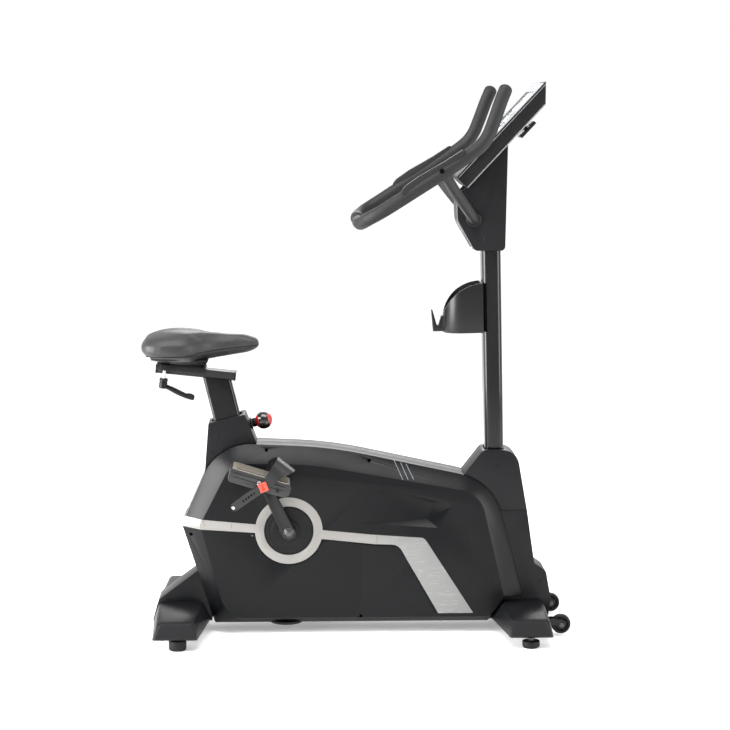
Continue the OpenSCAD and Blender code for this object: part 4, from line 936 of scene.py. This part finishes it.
for k, word in ((0, "start"), (-1, "up"), (1, "down")):
    centre = on_face(78, 46 * k, 2.2)
    out = face_turn @ Vector((0, 0, 1))
    if k:
        tip = 4.6 if word == "up" else -4.6
        mark = [(78 + tip, 46 * k), (78 - tip * 0.7, 46 * k - 4.6), (78 - tip * 0.7, 46 * k + 4.6)]
        plate("key_mark_" + word, mark, 2, 2.6, "key_mark", "key_" + word, inset=0.3)
    else:
        turned("key_mark_start", [(3.2, -0.2), (4.8, -0.2), (4.8, 0.3), (3.2, 0.3), (3.2, -0.2)], centre, out,
               "key_mark",
               "key_start", sides=32)
    turned("key_bezel_" + word, [(10.8, -3), (13.2, -3), (13, -1.6), (12, -1.0), (10.8, -1.4), (10.8, -3)],
           centre, out,
           "dark_plastic", "frame", sides=40)
# The thin lines along the console's side edges are light grey: a painted highlight on the edges of its back
# and face.
for side, word in ((-1, "right"), (1, "left")):
    tube("console_back_trim_painted_highlight_" + word, [on_face(u, side * 125.2, -39.5) for u in (-2, 90, 190, 290)], 0.0016,
         "painted_highlight_trim",
         "frame", sides=8)
    tube("console_front_trim_painted_highlight_" + word, [on_face(u, side * 125.2, -5) for u in (2, 100, 220, 328)], 0.0009,
         "painted_highlight_trim", "frame",
         sides=8)
for k in range(7):
    plate(f"vent_slot_{k}", box_corners(88 + 9 * k, 92 + 9 * k, -36, 36, 1.6), -41.4, -40.6, "groove_black",
          inset=0.2)
for k, (u, v) in enumerate(((22, -104), (22, 104), (268, -104), (268, 104))):
    turned(f"console_screw_{k}", [(4.4, -1), (4.4, 0.3), (3.6, 0.5), (2.4, -0.4), (0, -0.6)],
           on_face(u, v, -41), -out,
           "groove_black", "frame", sides=24)
print("the window shows", count, "strokes")

# %% [markdown]
# ## Wheels and feet
# Each transport wheel is a rubber-faced plastic disc on a bright pin: the tyre is crowned, the web is
# thin, and four ribs stiffen it. The ends of the feet are plugged with a raised cap.

# %% Wheels
wheel_centre = {word: [(a + b) / 2 for a, b in zip(*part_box("wheel_" + word))] for word in ("right", "left")}
tyre = [(9, -6), (17, -5), (18.5, -10), (22.5, -11), (25, -9.5), (26, -5), (26.2, 0), (26, 5), (25, 9.5),
        (22.5, 11), (18.5, 10),
        (17, 5), (9, 6)]
for side, word in ((-1, "right"), (1, "left")):
    centre, face = Vector(wheel_centre[word]), Vector((0, side, 0))
    turned("tyre_" + word, [(4.3, -11), (8.5, -11)] + tyre + [(8.5, 11), (4.3, 11), (4.3, -11)], centre,
           (0, 1, 0), "foot_rubber",
           "wheel_" + word, "wheel_" + word, sides=56)
    for k in range(4):
        a = k * math.tau / 4 + 0.5
        along, cross = Vector((math.cos(a), 0, math.sin(a))), Vector((-math.sin(a), 0, math.cos(a)))
        rings = [[centre + along * r / 1000 + cross * c / 1000 + Vector((0, y / 1000, 0))
                  for c, y in ((-1.6, -8.6), (1.6, -8.6), (1.6, 8.6), (-1.6, 8.6))] for r in (7.5, 18.4)]
        skinned(f"wheel_rib_{k}_{word}", rings, "dark_plastic", "wheel_" + word, angle=30)
    for end in (-1, 1):
        turned(f"wheel_pin_{end + 1}_{word}",
               [(0, 17), (6.4, 17), (6.4, 18.6), (5.4, 20), (3, 20.4), (2.4, 19.4), (0, 19.4)],
               centre, (0, end, 0), "bolt_steel", "frame", sides=28)
print("the wheels turn at", [[round(c, 3) for c in v] for v in wheel_centre.values()])

# %% Foot caps
for node, x0, x1, x2, x3 in (("rear_foot_cover", -352, -341, -244, -238),
                             ("front_foot_cover", 578, 584, 676, 688)):
    for side, word in ((-1, "right"), (1, "left")):
        rings = [[spot(sum((x0, x1, x2, x3)) / 4 + (x - sum((x0, x1, x2, x3)) / 4) * k, side * y,
                       56 + (z - 56) * k)
                  for x, z in ((x0, 34), (x1, 66), (x1 + 8, 76), (x2 - 7, 76), (x2, 68), (x3, 34))]
                 for y, k in ((259, 0.97), (265.6, 0.97), (266.8, 0.92))]
        skinned(f"{node}_cap_{word}", rings, "cover_plastic", "frame", angle=25)
for node in ("leveller_right", "leveller_left"):
    low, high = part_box(node)
    centre = Vector(((low[0] + high[0]) / 2, (low[1] + high[1]) / 2, 0))
    turned(node + "_nut", [(6, 19.5), (9.2, 19.5), (9.2, 26), (6, 26), (6, 19.5)], centre, (0, 0, 1),
           "bolt_steel", node,
           sides=6, angle=20)
print("the feet are capped")
